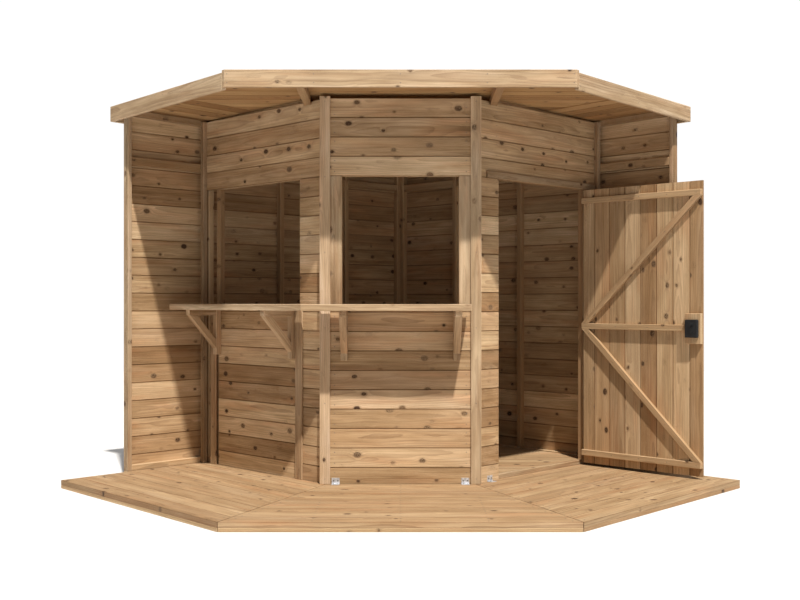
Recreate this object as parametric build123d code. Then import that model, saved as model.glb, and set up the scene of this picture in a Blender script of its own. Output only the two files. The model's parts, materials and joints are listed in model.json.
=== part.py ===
from build123d import *
import math
import os

# Corner garden bar. Millimetres, +Z up, front towards -Y, standing on the ground at Z = 0.
# Plan dimensions are laid out from the middle of the front wall's outer face, and the
# finished pieces are then moved so that the origin is under the middle of the whole plan.

# Walls: horizontal boards on the outside of a timber frame.
board = 12.0
frame_depth = 38.0
wall_height = 2200.0
middle_width = 848.0
side_length = 1200.0
wing_length = 532.9
wing_end_post = 28.0
stud = 35.0
rail = 35.0
wing_rail_drop = 320.0
wing_rail = 50.0

# Cladding boards: cover width, first joint above the deck and the vee between two boards.
board_cover = 111.0
narrowest_board = 30.0
first_joint = 93.5
vee_depth = 3.0
vee_half = 3.0

# Serving openings and doorway, set out from the corners of their walls.
sill_height = 990.0
header_height = 442.0
middle_stile = 90.0
left_near_stile = 235.0
left_far_stile = 156.0
door_near_stile = 212.0
door_far_stile = 136.0

# Cover boards on the corners and beside the openings.
post_width = 60.0
post_lap = 37.0
post_rise = 12.0
post_seam = 0.5
cover_board = 12.0
hatch_batten = 60.0
hatch_batten_offset = 12.0
inner_batten = 30.0
head_batten = 38.0
head_batten_start = 100.0

# Counter and its brackets. A tongue of the counter lies on the sill of each hatch.
counter_thickness = 36.0
counter_gap = 42.0
counter_reach = 285.0
counter_post_gap = 13.0
tongue_gap = 2.0
bracket_width = 38.0
bracket_bar = 36.0
bracket_height = 285.0
bracket_reach = 238.0
bracket_nose = 28.0
bracket_heel = 40.0
bracket_gap = 2.0
bracket_past_hatch = 5.0

# Deck and floor.
deck_board = 28.0
deck_bearer = 20.0
deck_bearer_width = 70.0
deck_bearer_rows = 4
deck_depth = 1072.0
deck_front_width = 1732.0
deck_wing_edge = 1006.4
deck_gap = 3.0
seam = 1.5
floor_height = 75.0
floor_board = 19.0
floor_gap = 0.3
joist_width = 44.0
joist_count = 6
joist_first = 44.0
joist_last = 176.0

# Roof: boards under felt, two rafters notched over the walls, fascia boards round the edge.
roof_angle = 1.3
rafter_depth = 48.0
rafter_rise = 28.0
rafter_width = 44.0
rafter_seat = 116.0
roof_board = 12.0
felt = 3.0
fascia_height = 93.0
fascia_thickness = 18.0
front_fascia_lift = 12.0
overhang_front = 455.0
overhang_wing = 73.0
overhang_back = 33.0
roof_front_width = 1864.0
roof_side_panel = 576.0
wedge_thickness = 20.0

# Door: ledged and braced, inset in its doorway and hinged on the wing side.
door_gap = 5.0
door_bottom = 15.0
door_head_gap = 8.0
door_board_cover = 112.0
ledge = 36.0
ledge_thickness = 24.0
ledge_top_inset = 52.0
ledge_bottom_inset = 50.0
ledge_middle = 885.0
lock_block_width = 104.0
lock_block_height = 179.0
lock_block_drop = 3.0
lock_width = 83.0
lock_height = 106.0
lock_depth = 20.0
lock_inset = 12.0
sill_setback = 17.0

# Tee hinges: flap on the wall, strap on the door, and knuckles of both round one pin.
leaf = 2.5
knuckle_count = 3
knuckle_radius = 6.0
pin_radius = 2.5
pin_clearance = 0.1
knuckle_gap = 0.5
flap_height = 110.0
flap_width = 38.0
strap_length = 300.0
strap_root = 40.0
strap_tip = 18.0

# Angle plates that hold the walls down to the deck.
plate_width = 45.0
plate_height = 35.0
plate_thickness = 2.5
plate_middle_inset = 54.0
plate_right_inset = 130.0

# Sizes that follow from the ones above.
wall_depth = board + frame_depth
deck_top = deck_bearer + deck_board
front_half = middle_width / 2
root_half = math.sqrt(0.5)
corner_mitre = math.tan(math.radians(22.5))
opening_top = wall_height - header_height
counter_top = sill_height + counter_thickness


class Wall:
    """A vertical plane in plan: s runs along it, d runs inwards from its outer face."""

    def __init__(self, start, along, inward):
        self.start = start
        self.along = along
        self.inward = inward

    def at(self, s, d):
        """Plan point s along the wall and d behind its outer face."""
        return (
            self.start[0] + self.along[0] * s + self.inward[0] * d,
            self.start[1] + self.along[1] * s + self.inward[1] * d,
        )

    def strip(self, s0, s1, d0, d1, mitre0=0.0, mitre1=0.0):
        """Plan outline of a length of the wall, each end square or cut back with depth."""
        return [
            self.at(s0 + mitre0 * d0, d0),
            self.at(s1 - mitre1 * d0, d0),
            self.at(s1 - mitre1 * d1, d1),
            self.at(s0 + mitre0 * d1, d1),
        ]

    def bar(self, s0, s1, d0, d1, z0, z1, mitre0=0.0, mitre1=0.0):
        """Length of timber that stands between two heights."""
        return prism(self.strip(s0, s1, d0, d1, mitre0, mitre1), z0, z1)

    def section(self, outline, s0, s1):
        """Outline in depth and height, drawn along the wall from s0 to s1."""
        points = [(*self.at(s0, d), z) for d, z in outline]
        face = make_face(Polyline(*points, close=True))
        return extrude(face, s1 - s0, dir=(*self.along, 0))

    def panel(self, outline, d0, d1):
        """Outline in length and height, drawn inwards from depth d0 to d1."""
        points = [(*self.at(s, d0), z) for s, z in outline]
        face = make_face(Polyline(*points, close=True))
        return extrude(face, d1 - d0, dir=(*self.inward, 0))


def prism(outline, z0, z1):
    """Plan outline raised from z0 to z1."""
    face = make_face(Polyline(*[(x, y, z0) for x, y in outline], close=True))
    return extrude(face, z1 - z0, dir=(0, 0, 1))


def mirrored(solid):
    """Twin of a piece on the other side of the middle."""
    return mirror(solid, about=Plane.YZ)


def group(*solids):
    """Solids of one node."""
    return Compound([part for solid in solids for part in solid.solids()])


middle_wall = Wall((-front_half, 0), (1, 0), (0, 1))
left_wall = Wall((-front_half, 0), (-root_half, root_half), (root_half, root_half))
right_wall = Wall((front_half, 0), (root_half, root_half), (-root_half, root_half))

# The back walls meet in the back corner, and each side wall butts against their inner face.
corner_line = left_wall.at(side_length, 0)[1] - left_wall.at(side_length, 0)[0]
back_line = corner_line + wall_depth / root_half
back_length = wing_length + (back_line + front_half) * root_half
back_middle = (back_length - wing_end_post) / 2
wing_start = (-back_length * root_half, back_line - back_length * root_half)
back_left = Wall(wing_start, (root_half, root_half), (root_half, -root_half))


def cladding_outline(z0, z1):
    """Section of a stack of boards: a flat back and a vee at each joint of the face."""
    outline = [(board, z0), (0, z0)]
    joint = deck_top + first_joint
    while joint + narrowest_board < z1:
        if joint - vee_half > z0:
            outline += [(0, joint - vee_half), (vee_depth, joint), (0, joint + vee_half)]
        joint += board_cover
    return outline + [(0, z1), (board, z1)]


def cladding(wall, s0, s1, z0, z1):
    """Boards on a wall between two heights above the deck."""
    return wall.section(cladding_outline(deck_top + z0, deck_top + z1), s0, s1)


# The roof surface falls evenly towards the back corner. It is as high as the rafters
# lift it where they cross the tops of the side walls.
rafter_place = front_half + rafter_seat
roof_build = roof_board + felt
roof_datum = deck_top + wall_height + rafter_rise + roof_build


def roof_plane(drop):
    """Plane that lies a distance below the roof's surface."""
    fall = math.radians(roof_angle)
    origin = (0, rafter_seat, roof_datum - drop)
    return Plane(origin=origin, x_dir=(1, 0, 0), z_dir=(0, math.sin(fall), math.cos(fall)))


def under_roof(solid, drop):
    """The part of a solid below a plane parallel to the roof."""
    return split(solid, bisect_by=roof_plane(drop), keep=Keep.BOTTOM)


def roof_layer(outline, upper, lower):
    """Sloping slab of a plan outline between two depths below the roof's surface."""
    tall = prism(outline, deck_top, roof_datum + wall_height)
    return split(under_roof(tall, upper), bisect_by=roof_plane(lower), keep=Keep.TOP)


def inset(outline, distances):
    """Outline with each edge moved inwards by its own distance."""
    lines = []
    for (x0, y0), (x1, y1), distance in zip(outline, outline[1:] + outline[:1], distances):
        length = math.hypot(x1 - x0, y1 - y0)
        a, b = (y0 - y1) / length, (x1 - x0) / length
        lines.append((a, b, a * x0 + b * y0 + distance))
    corners = []
    for (a, b, c), (d, e, f) in zip(lines[-1:] + lines[:-1], lines):
        turn = a * e - b * d
        corners.append(((c * e - b * f) / turn, (a * f - c * d) / turn))
    return corners


def corner_points(front, side, back):
    """Outline of the roof set in from its outer faces by the three distances."""
    tip = ((roof_side_line + roof_back_line) / 2, (roof_back_line - roof_side_line) / 2)
    outline = [
        (-roof_front_width / 2, -overhang_front),
        (roof_front_width / 2, -overhang_front),
        tip,
        (0, roof_back_line),
        (-tip[0], tip[1]),
    ]
    return inset(outline, (front, side, back, back, side))


wing_end = wing_start[0] + wing_start[1] - wing_end_post / root_half
roof_side_line = -wing_end + overhang_wing / root_half
roof_back_line = back_line + overhang_back / root_half

# Floor and the timbers under it.
floor_outline = [
    middle_wall.at(corner_mitre * wall_depth, wall_depth),
    middle_wall.at(middle_width - corner_mitre * wall_depth, wall_depth),
    right_wall.at(side_length, wall_depth),
    (0, corner_line),
    left_wall.at(side_length, wall_depth),
]
floor_face = offset(make_face(Polyline(*floor_outline, close=True)), -floor_gap)


def floor_boards():
    """Floor inside the walls."""
    return extrude(Pos(0, 0, floor_height - floor_board) * floor_face, floor_board)


def floor_joists():
    """Joists across the floor, cut to its outline."""
    joist_height = floor_height - floor_board
    first = wall_depth + floor_gap + joist_first
    last = corner_line - joist_last
    area = extrude(floor_face, joist_height)
    joists = []
    for n in range(joist_count):
        y = first + (last - first) * n / (joist_count - 1)
        row = Pos(0, y, joist_height / 2) * Box(2 * corner_line, joist_width, joist_height)
        joists.append(row & area)
    return group(*joists)


def base_bearers():
    """Timbers on the ground under every wall."""
    middle = middle_wall.bar(
        seam, middle_width - seam, 0, wall_depth, 0, deck_top, corner_mitre, corner_mitre
    )
    side = left_wall.bar(seam, side_length - seam, 0, wall_depth, 0, deck_top, corner_mitre)
    back = back_left.bar(-wing_end_post, back_length - seam, 0, wall_depth, 0, deck_top, 0, 1)
    return group(middle, side, mirrored(side), back, mirrored(back))


# Back walls. Each runs past the side wall as a wing.
def back_cladding():
    """Boards on the outside of the back-left wall."""
    boards = cladding(back_left, 0, back_length, 0, wall_height + rafter_rise)
    mitre = Plane(origin=(0, back_line, 0), z_dir=(-1, 0, 0))
    return under_roof(split(boards, bisect_by=mitre, keep=Keep.TOP), roof_build)


back_stud_places = (
    wing_length,
    back_middle - stud / 2,
    (back_middle + back_length - stud) / 2,
    back_length - wall_depth - stud,
)


def back_studs():
    """Studs of the back-left wall, from the bottom rail to the top rail."""
    studs = [
        back_left.bar(s, s + stud, board, wall_depth, deck_top + rail, deck_top + wall_height)
        for s in back_stud_places
    ]
    return [under_roof(one, roof_build + rail) for one in studs]


def back_rails():
    """Rails of the back-left wall: bottom, top and the one at the height of the doors' heads."""
    end = back_length - wall_depth
    bottom = back_left.bar(0, end, board, wall_depth, deck_top, deck_top + rail)
    tall = back_left.strip(0, end, board, wall_depth)
    top = roof_layer(tall, roof_build, roof_build + rail)
    low = deck_top + wall_height - wing_rail_drop
    starts = (0, *[s + stud for s in back_stud_places])
    across = [
        back_left.bar(s, after, board, wall_depth, low, low + wing_rail)
        for s, after in zip(starts, back_stud_places)
    ]
    return [bottom, top, *across]


# Front walls.
left_hatch_end = side_length - left_far_stile
doorway_end = side_length - door_far_stile
corner_cut = board * root_half + seam


def left_ends():
    """Boards at the two ends of the front-left wall, up to its header."""
    near = cladding(left_wall, 0, left_near_stile, 0, opening_top)
    far = cladding(left_wall, left_hatch_end, side_length, 0, opening_top)
    return group(near, far)


def left_panels():
    """Boards right across the top of the front-left wall, and those below its opening."""
    header = cladding(left_wall, 0, side_length, opening_top, wall_height)
    lower = cladding(left_wall, left_near_stile, left_hatch_end, 0, sill_height)
    return group(header, lower)


def middle_panels():
    """Boards above and below the opening of the middle wall."""
    end = middle_width - corner_cut
    header = cladding(middle_wall, corner_cut, end, opening_top, wall_height)
    lower = cladding(middle_wall, corner_cut, end, 0, sill_height)
    return group(header, lower)


def middle_jambs():
    """Upright boards beside the opening of the middle wall."""
    low = deck_top + sill_height
    high = deck_top + opening_top
    jamb = middle_wall.bar(corner_cut, middle_stile, 0, board, low, high)
    return group(jamb, mirrored(jamb))


def right_ends():
    """Boards beside the doorway, up to the header."""
    near = cladding(right_wall, 0, door_near_stile, 0, opening_top)
    far = cladding(right_wall, doorway_end, side_length, 0, opening_top)
    return group(near, far)


def right_header():
    """Boards right across the top of the front-right wall."""
    return cladding(right_wall, 0, side_length, opening_top, wall_height)


def front_studs():
    """Studs of the three front walls, from the bottom rail to the top rail."""
    low = deck_top + rail
    high = deck_top + wall_height - rail
    studs = []
    for wall, start, end in (
        (left_wall, left_near_stile, left_hatch_end),
        (right_wall, door_near_stile, doorway_end),
    ):
        corner = wall.bar(
            seam, seam + stud + frame_depth * corner_mitre, board, wall_depth, low, high, corner_mitre
        )
        studs += [
            corner,
            wall.bar(start - stud, start, board, wall_depth, low, high),
            wall.bar(end, end + stud, board, wall_depth, low, high),
            wall.bar(side_length - stud, side_length, board, wall_depth, low, high),
        ]
    jamb = middle_wall.bar(seam, middle_stile, board, wall_depth, low, high, corner_mitre)
    return group(*studs, jamb, mirrored(jamb))


def front_rails():
    """Rails of the three front walls."""
    low = deck_top
    high = deck_top + wall_height - rail
    head = deck_top + opening_top
    sill = deck_top + sill_height - rail
    rails = []
    for z in (low, high):
        rails.append(
            middle_wall.bar(
                seam, middle_width - seam, board, wall_depth, z, z + rail, corner_mitre, corner_mitre
            )
        )
        rails.append(
            left_wall.bar(seam, side_length, board, wall_depth, z, z + rail, corner_mitre)
        )
    rails.append(
        right_wall.bar(seam, side_length, board, wall_depth, high, high + rail, corner_mitre)
    )
    rails.append(
        right_wall.bar(seam, door_near_stile, board, wall_depth, low, low + rail, corner_mitre)
    )
    rails.append(right_wall.bar(doorway_end, side_length, board, wall_depth, low, low + rail))
    for z in (head, sill):
        rails.append(
            middle_wall.bar(
                middle_stile, middle_width - middle_stile, board, wall_depth, z, z + rail
            )
        )
        rails.append(
            left_wall.bar(left_near_stile, left_hatch_end, board, wall_depth, z, z + rail)
        )
    rails.append(
        right_wall.bar(door_near_stile, doorway_end, board, wall_depth, head, head + rail)
    )
    return group(*rails)


# Cover boards.
def corner_posts():
    """Posts over the two front corners and the cover over the back corner."""
    inner = front_half + post_lap - post_width
    outer = front_half + post_lap
    top = deck_top + wall_height + post_rise
    face = [(inner, -cover_board), (outer, -cover_board), (outer, 0), (inner, 0)]
    filler = [(front_half + post_seam, post_seam), (outer, post_seam), (outer, post_lap)]
    front = prism(face, deck_top, top), prism(filler, deck_top, top)
    back = back_left.bar(
        back_length - post_width, back_length - post_seam, -cover_board, 0, deck_top, top, 0, 1
    )
    right = [*front, under_roof(mirrored(back), roof_build)]
    return group(*right, *[mirrored(one) for one in right])


def wing_boards():
    """Uprights that close the ends of the two wings."""
    high = deck_top + wall_height + rafter_rise
    end = back_left.bar(-wing_end_post, 0, 0, wall_depth, deck_top, high)
    end = under_roof(end, roof_build)
    return group(end, mirrored(end))


def inner_battens():
    """Battens in the corners between the side walls and the wings."""
    batten = left_wall.bar(
        side_length - inner_batten, side_length, -inner_batten, 0, deck_top, deck_top + wall_height
    )
    return group(batten, mirrored(batten))


def hatch_battens():
    """Battens under the counter beside the lower panel of the front-left wall."""
    top = deck_top + counter_top - counter_thickness
    near = left_near_stile + hatch_batten / 2
    far = left_hatch_end + hatch_batten_offset
    return group(
        left_wall.bar(near - hatch_batten, near, -cover_board, 0, deck_top, top),
        left_wall.bar(far, far + hatch_batten, -cover_board, 0, deck_top, top),
    )


def door_head_batten():
    """Batten over the doorway."""
    low = deck_top + opening_top
    end = side_length - inner_batten
    return right_wall.bar(
        head_batten_start, end, -cover_board, 0, low, low + head_batten
    )


def door_sill():
    """Threshold behind the foot of the closed door."""
    return right_wall.bar(
        door_near_stile, doorway_end, sill_setback, wall_depth, deck_top, floor_height
    )


# Counter.
def counter(wall, end, hatch_from, hatch_to):
    """Counter along a wall, mitred at the left corner, with a tongue on the sill of the hatch."""
    low = deck_top + sill_height
    high = deck_top + counter_top
    slab = wall.bar(0, end, -counter_reach, -counter_gap, low, high, corner_mitre)
    tongue = wall.bar(
        hatch_from + tongue_gap, hatch_to - tongue_gap, -counter_gap, wall_depth, low, high
    )
    return slab + tongue


def left_counter():
    """Counter of the front-left wall, up to the batten in the corner."""
    return counter(left_wall, side_length - inner_batten, left_near_stile, left_hatch_end)


def middle_counter():
    """Counter of the middle wall, up to the right corner post."""
    end = middle_width + post_lap - post_width - counter_post_gap
    return counter(middle_wall, end, middle_stile, middle_width - middle_stile)


def bracket(wall, place):
    """Gallows bracket: leg on the wall, arm under the counter and a brace between them."""
    top = deck_top + counter_top - counter_thickness
    low = top - bracket_height
    rise = bracket_height - bracket_nose - bracket_heel
    steepness = rise / (bracket_reach - bracket_bar)
    above = bracket_bar * math.hypot(1, steepness)
    clear = (bracket_height - bracket_bar - bracket_heel - above) / steepness
    outer = [
        (0, top),
        (-bracket_reach, top),
        (-bracket_reach, top - bracket_nose),
        (-bracket_bar, low + bracket_heel),
        (-bracket_bar, low),
        (0, low),
    ]
    inner = [
        (-bracket_bar, top - bracket_bar),
        (-bracket_bar, low + bracket_heel + above),
        (-bracket_bar - clear, top - bracket_bar),
    ]
    body = wall.section(outer, place - bracket_width / 2, place + bracket_width / 2)
    window = wall.section(inner, place - bracket_width, place + bracket_width)
    return body - window


def left_brackets():
    """Brackets of the left counter, just inside the two battens."""
    beside = hatch_batten / 2 + bracket_gap + bracket_width / 2
    near = left_near_stile + beside
    far = left_hatch_end + hatch_batten_offset - bracket_gap - bracket_width / 2
    return group(*[bracket(left_wall, s) for s in (near, far)])


def middle_brackets():
    """Brackets of the middle counter."""
    near = middle_stile - bracket_past_hatch + bracket_width / 2
    return group(*[bracket(middle_wall, s) for s in (near, middle_width - near)])


# Roof.
def roof_panel(outline):
    """Boarded panel of the roof within a plan outline."""
    area = roof_layer(corner_points(*[fascia_thickness] * 3), felt, roof_build)
    return area & prism(outline, deck_top, roof_datum + wall_height)


seam_line = roof_back_line - fascia_thickness / root_half - roof_side_panel / root_half
far_out = 2 * roof_back_line


def roof_middle():
    """Boards over the middle of the roof."""
    cut = seam / 2 / root_half
    return roof_panel([
        (0, seam_line - cut),
        (-far_out, seam_line - cut - far_out),
        (0, -far_out),
        (far_out, seam_line - cut - far_out),
    ])


def roof_left():
    """Boards along the back-left edge of the roof."""
    cut = seam / 2 / root_half
    return roof_panel([
        (-seam / 2, seam_line + cut),
        (-seam / 2, far_out),
        (-far_out, far_out),
        (-far_out, seam_line + cut - far_out),
    ])


def roof_felt():
    """Felt over all the roof boards."""
    return roof_layer(corner_points(*[fascia_thickness] * 3), 0, felt)


def rafters():
    """Rafters from the front fascia over the side walls to the back walls."""
    x0 = rafter_place - rafter_width / 2
    x1 = rafter_place + rafter_width / 2
    front = fascia_thickness - overhang_front
    back = corner_line
    outline = [(x0, front), (x1, front), (x1, back - x1), (x0, back - x0)]
    one = roof_layer(outline, roof_build, roof_build + rafter_depth)
    wall = right_wall.bar(0, side_length, 0, wall_depth, 0, deck_top + wall_height)
    one = one - wall
    return group(mirrored(one), one)


def front_fascia():
    """Fascia across the front, a little higher than the side ones."""
    points = corner_points(0, 0, 0)
    inner = corner_points(fascia_thickness, 0, 0)
    outline = [points[0], points[1], inner[1], inner[0]]
    top = roof_datum - math.tan(math.radians(roof_angle)) * (-overhang_front - rafter_seat)
    top = top + front_fascia_lift
    return prism(outline, top - fascia_height, top)


def side_fascia():
    """Fascia along the right side, from the front fascia to the tip of the roof."""
    outer = corner_points(fascia_thickness, 0, 0)
    inner = corner_points(fascia_thickness, fascia_thickness, 0)
    return roof_layer([outer[1], outer[2], inner[2], inner[1]], 0, fascia_height)


def back_fascia():
    """Fascia along the back-right edge of the roof."""
    outer = corner_points(0, fascia_thickness, 0)
    inner = corner_points(0, fascia_thickness, fascia_thickness)
    return roof_layer([outer[2], outer[3], inner[3], inner[2]], 0, fascia_height)


def roof_wedges():
    """Tapered fillers between the tops of the side walls and the roof."""
    tops = deck_top + wall_height
    start = (rafter_seat + rafter_width / 2) / root_half + seam
    wedge = left_wall.bar(
        start, side_length, wall_depth - wedge_thickness, wall_depth, tops, tops + wall_height, 1
    )
    wedge = under_roof(wedge, roof_build)
    return group(wedge, mirrored(wedge))


# Deck round the front.
def deck_outlines():
    """Plan outlines of the middle and right deck panels."""
    half = deck_front_width / 2
    side_line = corner_line - deck_gap / root_half
    corner = ((side_line + front_half) / 2, (side_line - front_half) / 2)
    along = deck_wing_edge * root_half
    middle = [(-front_half, 0), (front_half, 0), (half, -deck_depth), (-half, -deck_depth)]
    right = [
        (front_half, 0),
        (half, -deck_depth),
        (corner[0] + along, corner[1] - along),
        corner,
    ]
    return middle, right


def deck_panel(outline):
    """Deck boards of one panel."""
    face = offset(make_face(Polyline(*outline, close=True)), -seam)
    return extrude(Pos(0, 0, deck_bearer) * face, deck_board)


def deck_rows(outline, first, second):
    """Bearers under one panel, parallel to its front edge between two corners."""
    area = extrude(offset(make_face(Polyline(*outline, close=True)), -seam), deck_bearer)
    edge = Vector(*second) - Vector(*first)
    along = edge.normalized()
    inward = Vector(-along.Y, along.X)
    wall_side = [corner for corner in outline if corner not in (first, second)]
    depth = min((Vector(*corner) - Vector(*first)).dot(inward) for corner in wall_side)
    rows = []
    for n in range(deck_bearer_rows):
        near = seam + (depth - deck_bearer_width - 2 * seam) * n / (deck_bearer_rows - 1)
        middle = Vector(*first) + edge * 0.5 + inward * (near + deck_bearer_width / 2)
        place = Plane(origin=middle, x_dir=along)
        row = Box(3 * edge.length, deck_bearer_width, 2 * deck_bearer)
        rows.append((place * row) & area)
    return rows


def deck_bearers():
    """Bearers under all three deck panels."""
    middle, right = deck_outlines()
    side = deck_rows(right, right[1], right[2])
    front = deck_rows(middle, middle[3], middle[2])
    return group(*front, *side, *[mirrored(row) for row in side])


# Door, drawn open at a right angle to its wall. Its own plane starts at the hinge pin.
pin_offset = knuckle_radius
pin_place = doorway_end - door_gap / 2
door_width = doorway_end - door_near_stile - 2 * door_gap
pin_point = right_wall.at(pin_place, -pin_offset)
door_plane = Wall(
    right_wall.at(pin_place - pin_offset, -pin_offset),
    (root_half, -root_half),
    (-root_half, -root_half),
)
door_edge = door_gap / 2
door_end = door_edge + door_width
door_low = deck_top + door_bottom
door_high = deck_top + opening_top - door_head_gap
ledge_depth = board + ledge_thickness
top_ledge_low = door_high - ledge_top_inset - ledge
middle_ledge_low = deck_top + ledge_middle - ledge / 2
bottom_ledge_low = door_low + ledge_bottom_inset
lock_block_start = door_end - lock_block_width
lock_middle = deck_top + ledge_middle - lock_block_drop


def door_boards():
    """Upright boards of the door with a vee at each joint of the outer face."""
    count = math.ceil(door_width / door_board_cover)
    first = door_edge + (door_width - (count - 2) * door_board_cover) / 2
    outline = [(door_edge, board), (door_edge, 0)]
    for n in range(count - 1):
        joint = first + n * door_board_cover
        outline += [(joint - vee_half, 0), (joint, vee_depth), (joint + vee_half, 0)]
    outline += [(door_end, 0), (door_end, board)]
    return prism([door_plane.at(a, b) for a, b in outline], door_low, door_high)


def door_ledges():
    """Ledges across the inside of the door."""
    top = door_plane.bar(
        door_edge, door_end, board, ledge_depth, top_ledge_low, top_ledge_low + ledge
    )
    middle = door_plane.bar(
        door_edge, lock_block_start, board, ledge_depth, middle_ledge_low, middle_ledge_low + ledge
    )
    bottom = door_plane.bar(
        door_edge, door_end, board, ledge_depth, bottom_ledge_low, bottom_ledge_low + ledge
    )
    return group(top, middle, bottom)


def brace(low, high, end, rising):
    """Brace between two ledges, from the hinge side to the free side."""
    height = high - low
    foot = ledge / math.sin(math.atan2(height, end - door_edge - ledge))
    if rising:
        outline = [(door_edge, low), (door_edge + foot, low), (end, high), (end - foot, high)]
    else:
        outline = [(end - foot, low), (end, low), (door_edge + foot, high), (door_edge, high)]
    return door_plane.panel(outline, board, ledge_depth)


def door_braces():
    """Braces of the upper and lower halves of the door."""
    upper = brace(middle_ledge_low + ledge, top_ledge_low, door_end, True)
    lower = brace(bottom_ledge_low + ledge, middle_ledge_low, door_end, False)
    return group(upper - lock_block(), lower - lock_block())


def lock_block():
    """Block that carries the lock at the free edge."""
    low = lock_middle - lock_block_height / 2
    high = lock_middle + lock_block_height / 2
    return door_plane.bar(lock_block_start, door_end, board, ledge_depth, low, high)


def rim_lock():
    """Case of the rim lock on its block."""
    end = door_end - lock_inset
    low = lock_middle - lock_height / 2
    high = lock_middle + lock_height / 2
    return door_plane.bar(end - lock_width, end, ledge_depth, ledge_depth + lock_depth, low, high)


hinge_heights = (
    top_ledge_low + ledge / 2,
    middle_ledge_low + ledge / 2,
    bottom_ledge_low + ledge / 2,
)


# Half the height of the strap's knuckle, which turns between the flap's two.
strap_knuckle = min(flap_height / knuckle_count / 2 - knuckle_gap, strap_root / 2)


def knuckle(z0, z1, radius):
    """Length of the hinge barrel round the pin line."""
    return Pos(*pin_point, z0) * Cylinder(
        radius, z1 - z0, align=(Align.CENTER, Align.CENTER, Align.MIN)
    )


def hinge_strap(middle):
    """Strap of one hinge on the outer face of the door, with its knuckle."""
    outline = [
        (0, middle - strap_root / 2),
        (strap_root, middle - strap_root / 2),
        (strap_length, middle - strap_tip / 2),
        (strap_length, middle + strap_tip / 2),
        (strap_root, middle + strap_root / 2),
        (0, middle + strap_root / 2),
    ]
    low = middle - strap_knuckle
    high = middle + strap_knuckle
    plate = door_plane.panel(outline, -leaf, 0)
    barrel = knuckle(low, high, knuckle_radius)
    bore = knuckle(low - flap_height, high + flap_height, pin_radius + pin_clearance)
    below = knuckle(low - flap_height, low, knuckle_radius + knuckle_gap)
    above = knuckle(high, high + flap_height, knuckle_radius + knuckle_gap)
    return plate + barrel - bore - below - above


def hinge_straps():
    """Straps of the door's hinges."""
    return group(*[hinge_strap(z) for z in hinge_heights])


def hinge_flap(middle):
    """Flap of one hinge on the wall, with two knuckles and the pin."""
    low = middle - flap_height / 2
    high = middle + flap_height / 2
    plate = right_wall.bar(
        doorway_end - door_gap / 2, doorway_end + flap_width, -leaf, 0, low, high
    )
    barrel = knuckle(low, high, knuckle_radius)
    gap = strap_knuckle + knuckle_gap
    room = knuckle(middle - gap, middle + gap, knuckle_radius + knuckle_gap)
    pin = knuckle(low, high, pin_radius)
    return plate + barrel - room + pin


def hinge_flaps():
    """Flaps of the hinges on the wall."""
    return group(*[hinge_flap(z) for z in hinge_heights])


# Angle plates at the foot of the front walls.
def angle_plate(wall, place):
    """Bent plate with one leg on the wall and one on the deck."""
    low = deck_top
    outline = [
        (0, low),
        (-plate_height, low),
        (-plate_height, low + plate_thickness),
        (-plate_thickness, low + plate_thickness),
        (-plate_thickness, low + plate_height),
        (0, low + plate_height),
    ]
    return wall.section(outline, place - plate_width / 2, place + plate_width / 2)


def angle_plates():
    """Angle plates at the foot of the middle wall and beside the doorway."""
    return group(
        angle_plate(middle_wall, plate_middle_inset),
        angle_plate(middle_wall, middle_width - plate_middle_inset),
        angle_plate(right_wall, plate_right_inset),
    )


def main():
    """Builds every node and writes one file for each."""
    middle_deck, right_deck = deck_outlines()
    side_fascias = side_fascia()
    back_edge = back_fascia()
    back_boards = back_cladding()
    nodes = {
        "base_bearers": base_bearers(),
        "floor_joists": floor_joists(),
        "floor_boards": floor_boards(),
        "back_left_boards": back_boards,
        "back_right_boards": mirrored(back_boards),
        "back_studs": group(*back_studs(), *[mirrored(s) for s in back_studs()]),
        "back_rails": group(*back_rails(), *[mirrored(s) for s in back_rails()]),
        "left_wall_ends": left_ends(),
        "left_wall_panels": left_panels(),
        "middle_wall_panels": middle_panels(),
        "middle_wall_jambs": middle_jambs(),
        "right_wall_ends": right_ends(),
        "right_wall_header": right_header(),
        "front_studs": front_studs(),
        "front_rails": front_rails(),
        "corner_posts": corner_posts(),
        "wing_end_boards": wing_boards(),
        "inner_battens": inner_battens(),
        "hatch_battens": hatch_battens(),
        "door_head_batten": door_head_batten(),
        "door_sill": door_sill(),
        "left_counter": left_counter(),
        "middle_counter": middle_counter(),
        "left_brackets": left_brackets(),
        "middle_brackets": middle_brackets(),
        "roof_middle": roof_middle(),
        "roof_left": roof_left(),
        "roof_right": mirrored(roof_left()),
        "roof_felt": roof_felt(),
        "rafters": rafters(),
        "front_fascia": front_fascia(),
        "side_fascias": group(side_fascias, mirrored(side_fascias)),
        "back_fascia_left": mirrored(back_edge),
        "back_fascia_right": back_edge,
        "roof_wedges": roof_wedges(),
        "deck_middle": deck_panel(middle_deck),
        "deck_right": deck_panel(right_deck),
        "deck_left": mirrored(deck_panel(right_deck)),
        "deck_bearers": deck_bearers(),
        "angle_plates": angle_plates(),
        "door_boards": door_boards(),
        "door_ledges": door_ledges(),
        "door_braces": door_braces(),
        "lock_block": lock_block(),
        "rim_lock": rim_lock(),
        "hinge_straps": hinge_straps(),
        "hinge_flaps": hinge_flaps(),
    }
    shift = (deck_depth - seam - roof_back_line) / 2
    os.makedirs("parts", exist_ok=True)
    for name, part in nodes.items():
        export_step(Pos(0, shift, 0) * part, f"parts/{name}.step")
    print("plan shift", round(shift, 3))
    print("hinge pin", [round(v, 3) for v in pin_point], "plus the shift")
    print("roof top", round(roof_datum, 3))


main()
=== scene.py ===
import json
import math

import bmesh
import bpy
from mathutils import Matrix, Vector

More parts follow.
